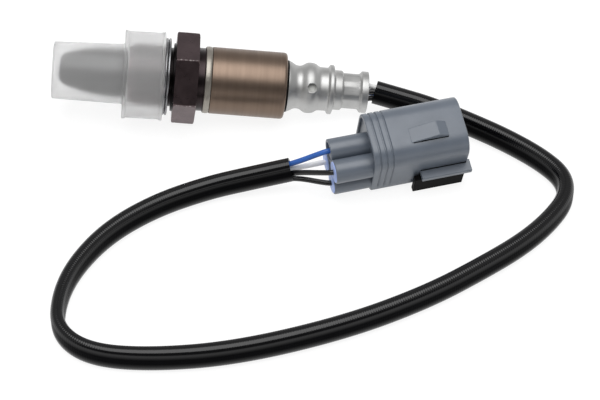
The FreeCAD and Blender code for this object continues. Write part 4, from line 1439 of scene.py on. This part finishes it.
@dataclass
class Plug:
    """Four-way housing with its tubes, ramp, rail, seals, pins and clip."""

    length: float = 26.2
    half_width: float = 8.5
    top: float = 8.5
    bottom: float = 9.2
    top_round: float = 5.0
    bottom_round: float = 2.0
    wall: float = 1.6
    socket_floor: float = 12.2
    tube_radius: float = 3.25
    tube_length: float = 10.0
    pitch: float = 6.4
    side: float = 1.7
    drop: float = 2.7
    arc_steps: int = 10
    grooves: tuple[float, ...] = (1.5, 3.2, 4.9)
    groove_floor: float = -5.6
    seal_radius: float = 2.47

    def sockets(self) -> dict[str, Point]:
        """Across and up of each tube: the far side is positive."""
        half = self.pitch / 2
        return {
            "blue": (-self.side + half, -self.drop + half),
            "white": (-self.side + half, -self.drop - half),
            "black_upper": (-self.side - half, -self.drop + half),
            "black_lower": (-self.side - half, -self.drop - half),
        }

    def outline(self, station: float, inset: float) -> list[Vector]:
        """The housing's section, rounder at its top, drawn inwards by the inset."""
        ring: list[Vector] = []
        upper = max(self.top_round - inset, 0.3)
        lower = max(self.bottom_round - inset, 0.3)
        width = self.half_width - inset
        ends = (self.groove_floor + 0.3, self.groove_floor - 0.1)
        for across, up, radius, first in (
            (width, self.top - inset, upper, 0),
            (width, -(self.bottom - inset), lower, 90),
            (-width, -(self.bottom - inset), lower, 180),
            (-width, self.top - inset, upper, 270),
        ):
            if first == 90:
                ring += [Vector((station, width, level)) for level in ends]
            elif first == 270:
                ring += [Vector((station, -width, level)) for level in reversed(ends)]
            centre = (across - math.copysign(radius, across), up - math.copysign(radius, up))
            for step in range(self.arc_steps + 1):
                angle = math.radians(first + 90 * step / self.arc_steps)
                side = centre[0] + radius * math.sin(angle)
                ring.append(Vector((station, side, centre[1] + radius * math.cos(angle))))
        return ring

    def ribbed(self, station: float, inset: float) -> list[Vector]:
        """The section at a station, its grooves left out low on the sides."""
        ring = self.outline(station, inset)
        if 1.0 < station < 6.0:
            full = self.outline(station, 0.0)
            ring = [whole if whole.z < self.groove_floor else cut for cut, whole in zip(ring, full)]
        return ring

    def shroud(self) -> bpy.types.Object:
        """The shell with its socket, rear recess and three grooves."""
        stations = [(0.7, 0.95), (0.25, 0.9), (0.0, 0.8), (0.0, 0.25), (0.2, 0.03), (0.45, 0.0)]
        for groove in self.grooves:
            stations += [(groove - 0.08, 0.0), (groove, 0.12), (groove + 0.1, 0.3)]
            stations += [(groove + 0.35, 0.3), (groove + 0.48, 0.1), (groove + 0.58, 0.0)]
        end = self.length
        stations += [(end - 0.45, 0.0), (end - 0.15, 0.05), (end, 0.25), (end, self.wall - 0.3)]
        stations += [(end - 0.2, self.wall - 0.05), (end - 0.6, self.wall)]
        stations.append((self.socket_floor, self.wall))
        rings = [self.ribbed(station, inset) for station, inset in stations]
        return lofted("shroud", rings, Finishes.HOUSING, PLUG, 40)

    def tube(self, name: str, across: float, up: float) -> bpy.types.Object:
        """One seal tube with an open mouth."""
        place = PLUG @ Matrix.Translation((0, across, up))
        outline = softened([
            (-2.0, 0.0, 0.0),
            (-2.0, 2.5, 0.0),
            (-self.tube_length, 2.5, 0.15),
            (-self.tube_length, self.tube_radius, 0.25),
            (1.85, self.tube_radius, 0.0),
            (1.85, 0.0, 0.0),
        ])
        return turned(name, outline, Finishes.HOUSING, 48, closed=False, place=place)

    def ramp(self) -> bpy.types.Object:
        """The latch ramp on the top."""
        side = [(21.0, 7.6), (21.0, 9.15), (18.2, 10.4), (10.6, 8.5), (10.6, 7.6)]
        return bevelled(plate("ramp", side, -4.5, -0.1, Finishes.HOUSING), 0.2)

    def housing(self) -> bpy.types.Object:
        """All that is moulded in one with the shroud."""
        parts = [self.shroud()]
        for colour, (across, up) in self.sockets().items():
            parts.append(self.tube(f"tube_{colour}", across, up))
        half = self.pitch / 2
        middle = (-self.side, -self.drop)
        low = (0.3 - self.tube_length, middle[0] - half, middle[1] - half)
        high = (1.8, middle[0] + half, middle[1] + half)
        parts.append(block("web", low, high, Finishes.HOUSING, 0.15))
        parts.append(self.ramp())
        parts.append(block("ledge", (13.1, -11.2, -2.5), (27.0, -7.7, -1.0), Finishes.HOUSING, 0.2))
        parts.append(block("foot", (14.5, -9.0, -7.7), (23.5, -7.7, -4.5), Finishes.HOUSING, 0.15))
        made = joined("plug_housing_moulded", parts)
        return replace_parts(made, "plug_housing")

    def shadow_strips(self) -> bpy.types.Object:
        """Painted shadow: near black strips under the ramp's near side and over the ledge."""
        side = [(20.9, 8.3), (20.9, 8.72), (14.0, 8.8), (11.2, 8.56), (11.2, 8.3)]
        under_ramp = plate("under_ramp", side, -4.6, -4.35, Finishes.GAP)
        over_ledge = block("over_ledge", (13.2, -8.7, -1.1), (25.9, -8.3, -0.72), Finishes.GAP, 0.05)
        return joined("plug_gap_lines", [under_ramp, over_ledge])

    def clip(self) -> bpy.types.Object:
        """Black plate under the rail, notched near its end."""
        side = [
            (11.4, -9.3), (25.3, -9.3), (25.3, -2.5), (23.2, -2.5),
            (23.2, -3.9), (21.0, -3.9), (21.0, -2.5), (11.4, -2.5),
        ]
        made = bevelled(plate("mounting_clip_plate", side, -10.5, -9.0, Finishes.CLIP), 0.15)
        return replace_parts(made, "mounting_clip")

    def seal(self, colour: str, across: float, up: float) -> bpy.types.Object:
        """A ribbed wire seal that stands out of its tube."""
        place = PLUG @ Matrix.Translation((0, across, up))
        start, head = (-8.6, self.seal_radius) if colour == "blue" else (-10.3, 2.95)
        corners = [(start, 0.7, 0.0), (start, head - 0.2, 0.2), (start + 0.28, head, 0.1)]
        corners += [(start + 0.28, self.seal_radius, 0.0)]
        corners += [(start + 0.9, 2.45, 0.1), (start + 1.1, 2.1, 0.2)]
        for rib in range(3):
            middle = -7.0 + 1.9 * rib
            corners += [(middle - 0.6, 2.1, 0.2), (middle, 2.45, 0.3), (middle + 0.6, 2.1, 0.2)]
        corners += [(-2.1, 2.1, 0.0), (-2.1, 0.7, 0.0)]
        made = turned(f"seal_{colour}_ribbed", softened(corners), Finishes.SEAL, 40, place=place)
        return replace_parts(made, f"seal_{colour}")

    def build(self) -> list[bpy.types.Object]:
        """Housing, clip, painted shadow strips and seals."""
        made = [self.housing(), self.clip(), self.shadow_strips()]
        made += [self.seal(colour, *spot) for colour, spot in self.sockets().items()]
        return made


# Studio


@dataclass
class Studio:
    """Camera, lamps, pale table and surroundings."""

    elevation: float = 48.0
    camera_place: tuple[float, float, float] = (0.0249, -0.4499, 0.4614)
    lens: float = 138.0
    softbox_side: float = 1.0
    softbox_place: tuple[float, float, float] = (0.02, -0.1, 1.0)
    softbox_power: float = 8.8
    room_level: float = 0.5
    dark_side: float = 0.4
    table_side: float = 6.0
    table_color: Color = (0.88, 0.88, 0.88)
    table_glow: float = 1.15
    glow_near: float = 0.76
    glow_far: float = 0.14

    def camera(self) -> None:
        """The photograph's viewpoint."""
        data = bpy.data.cameras.new("camera")
        data.lens = self.lens
        data.sensor_width = 36.0
        data.clip_start = 0.01
        made = bpy.data.objects.new("camera", data)
        made.location = self.camera_place
        made.rotation_euler = (math.radians(90 - self.elevation), 0.0, 0.0)
        bpy.context.scene.collection.objects.link(made)
        bpy.context.scene.camera = made

    def lamp(self) -> None:
        """One large soft box overhead."""
        data = bpy.data.lights.new("softbox", "AREA")
        data.shape = "SQUARE"
        data.size = self.softbox_side
        data.energy = self.softbox_power
        made = bpy.data.objects.new("softbox", data)
        made.location = self.softbox_place
        bpy.context.scene.collection.objects.link(made)

    def seen_directly(self, board: Board) -> Signal:
        """1 for rays that picture the background: camera, mirror and glass rays."""
        path = board.node("ShaderNodeLightPath", output="Is Camera Ray")
        return (path + path.beside("Is Glossy Ray") + path.beside("Is Transmission Ray")).clamped()

    def world(self) -> None:
        """Even room, dark behind the camera and white at the horizon; white to the camera."""
        world = bpy.data.worlds.new("room")
        world.use_nodes = True
        world.node_tree.nodes.clear()
        board = Board(world.node_tree)
        way = board.node("ShaderNodeTexCoord", output="Generated")
        depth = board.node("ShaderNodeSeparateXYZ", {}, {0: way}, "Y")
        height = depth.beside("Z")
        front = (0.0 - depth).band(0.3, 0.6)
        horizon = 1.0 - height.maths("ABSOLUTE", height).band(0.12, 0.34)
        level = (self.room_level - front * self.dark_side) * (1.0 - horizon) + horizon
        camera = board.node("ShaderNodeLightPath", output="Is Camera Ray")
        strength = level * (1 - camera) + camera
        light = board.node("ShaderNodeBackground", {}, {"Color": (1, 1, 1, 1), "Strength": strength})
        board.node("ShaderNodeOutputWorld", {}, {"Surface": light})
        bpy.context.scene.world = world

    def table(self) -> None:
        """White table that keeps the object's shadow and fades to plain white far from it."""
        half = self.table_side / 2
        mesh = bpy.data.meshes.new("table")
        corners = [(-half, -half, 0.0), (half, -half, 0.0), (half, half, 0.0), (-half, half, 0.0)]
        mesh.from_pydata(corners, [], [(0, 1, 2, 3)])
        made = bpy.data.objects.new("table", mesh)
        bpy.context.scene.collection.objects.link(made)
        material = bpy.data.materials.new("table_white")
        material.use_nodes = True
        material.node_tree.nodes.clear()
        board = Board(material.node_tree)
        matt = board.node("ShaderNodeBsdfDiffuse", {}, {"Color": (*self.table_color, 1.0)})
        inputs = {"Color": (1, 1, 1, 1), "Strength": self.table_glow}
        glow = board.node("ShaderNodeEmission", {}, inputs)
        spot = board.node("ShaderNodeTexCoord", output="Object")
        distance = board.node("ShaderNodeVectorMath", {"operation": "LENGTH"}, {0: spot}, "Value")
        far = distance.band(0.2, 0.6)
        share = self.seen_directly(board) * (self.glow_near + far * self.glow_far)
        mixed = board.node("ShaderNodeMixShader", {}, {0: share, 1: matt, 2: glow})
        board.node("ShaderNodeOutputMaterial", {}, {"Surface": mixed})
        material.cycles.emission_sampling = "NONE"
        mesh.materials.append(material)

    def build(self) -> None:
        """Everything that isn't the object."""
        bpy.context.scene.view_settings.view_transform = "Standard"
        self.camera()
        self.lamp()
        self.world()
        self.table()


def dress_nodes() -> None:
    """Finishes of the solids that show as they are, or lie inside."""
    finishes = {
        "inner_protector": Finishes.PROTECTOR,
        "sensing_element": Finishes.CERAMIC,
        "heater_rod": Finishes.CERAMIC,
        "talc_packing": Finishes.FILTER,
        "ceramic_bushing": Finishes.CERAMIC,
        "lock_ring": Finishes.RING,
        "inner_cover": Finishes.CAP,
        "contact_holder": Finishes.CERAMIC,
        "pin_retainer": Finishes.CLIP,
    }
    for name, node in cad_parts.items():
        metal = Finishes.PIN if name.startswith(("contact_", "pin_")) else None
        finish = finishes.get(name, metal)
        if finish:
            node.data.materials.clear()
            node.data.materials.append(finish.value.material())


def main() -> None:
    """Builds the studio, the sensor, its lead and its plug."""
    logging.basicConfig(level=logging.INFO)
    Studio().build()
    scatter = Scatter("set_at_points")
    casing = Casing()
    made = [TransitCap().build(), Protector().build(), Shell().build(), Gasket().build()]
    made += [casing.ring(scatter), casing.build(), casing.joint_shadow()]
    made += VentedCap().build()
    plug = Plug()
    on_lead = plug.build()
    harness = Harness()
    sleeve, route = harness.build()
    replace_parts(sleeve, "harness_sleeve")
    wires = Leads().build(route, plug.sockets())
    for item in [*made, *on_lead, sleeve, *wires]:
        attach(item, "root")
        LOG.info("%s: %d faces", item.name, len(item.data.polygons))
    dress_nodes()
    pins = [node for name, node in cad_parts.items() if name.startswith("pin_")]
    length = sum((b - a).length for a, b in zip(route, route[1:]))
    on_lead + wires + pins


if __name__ == "__main__":
    main()
    bpy.context.view_layer.update()
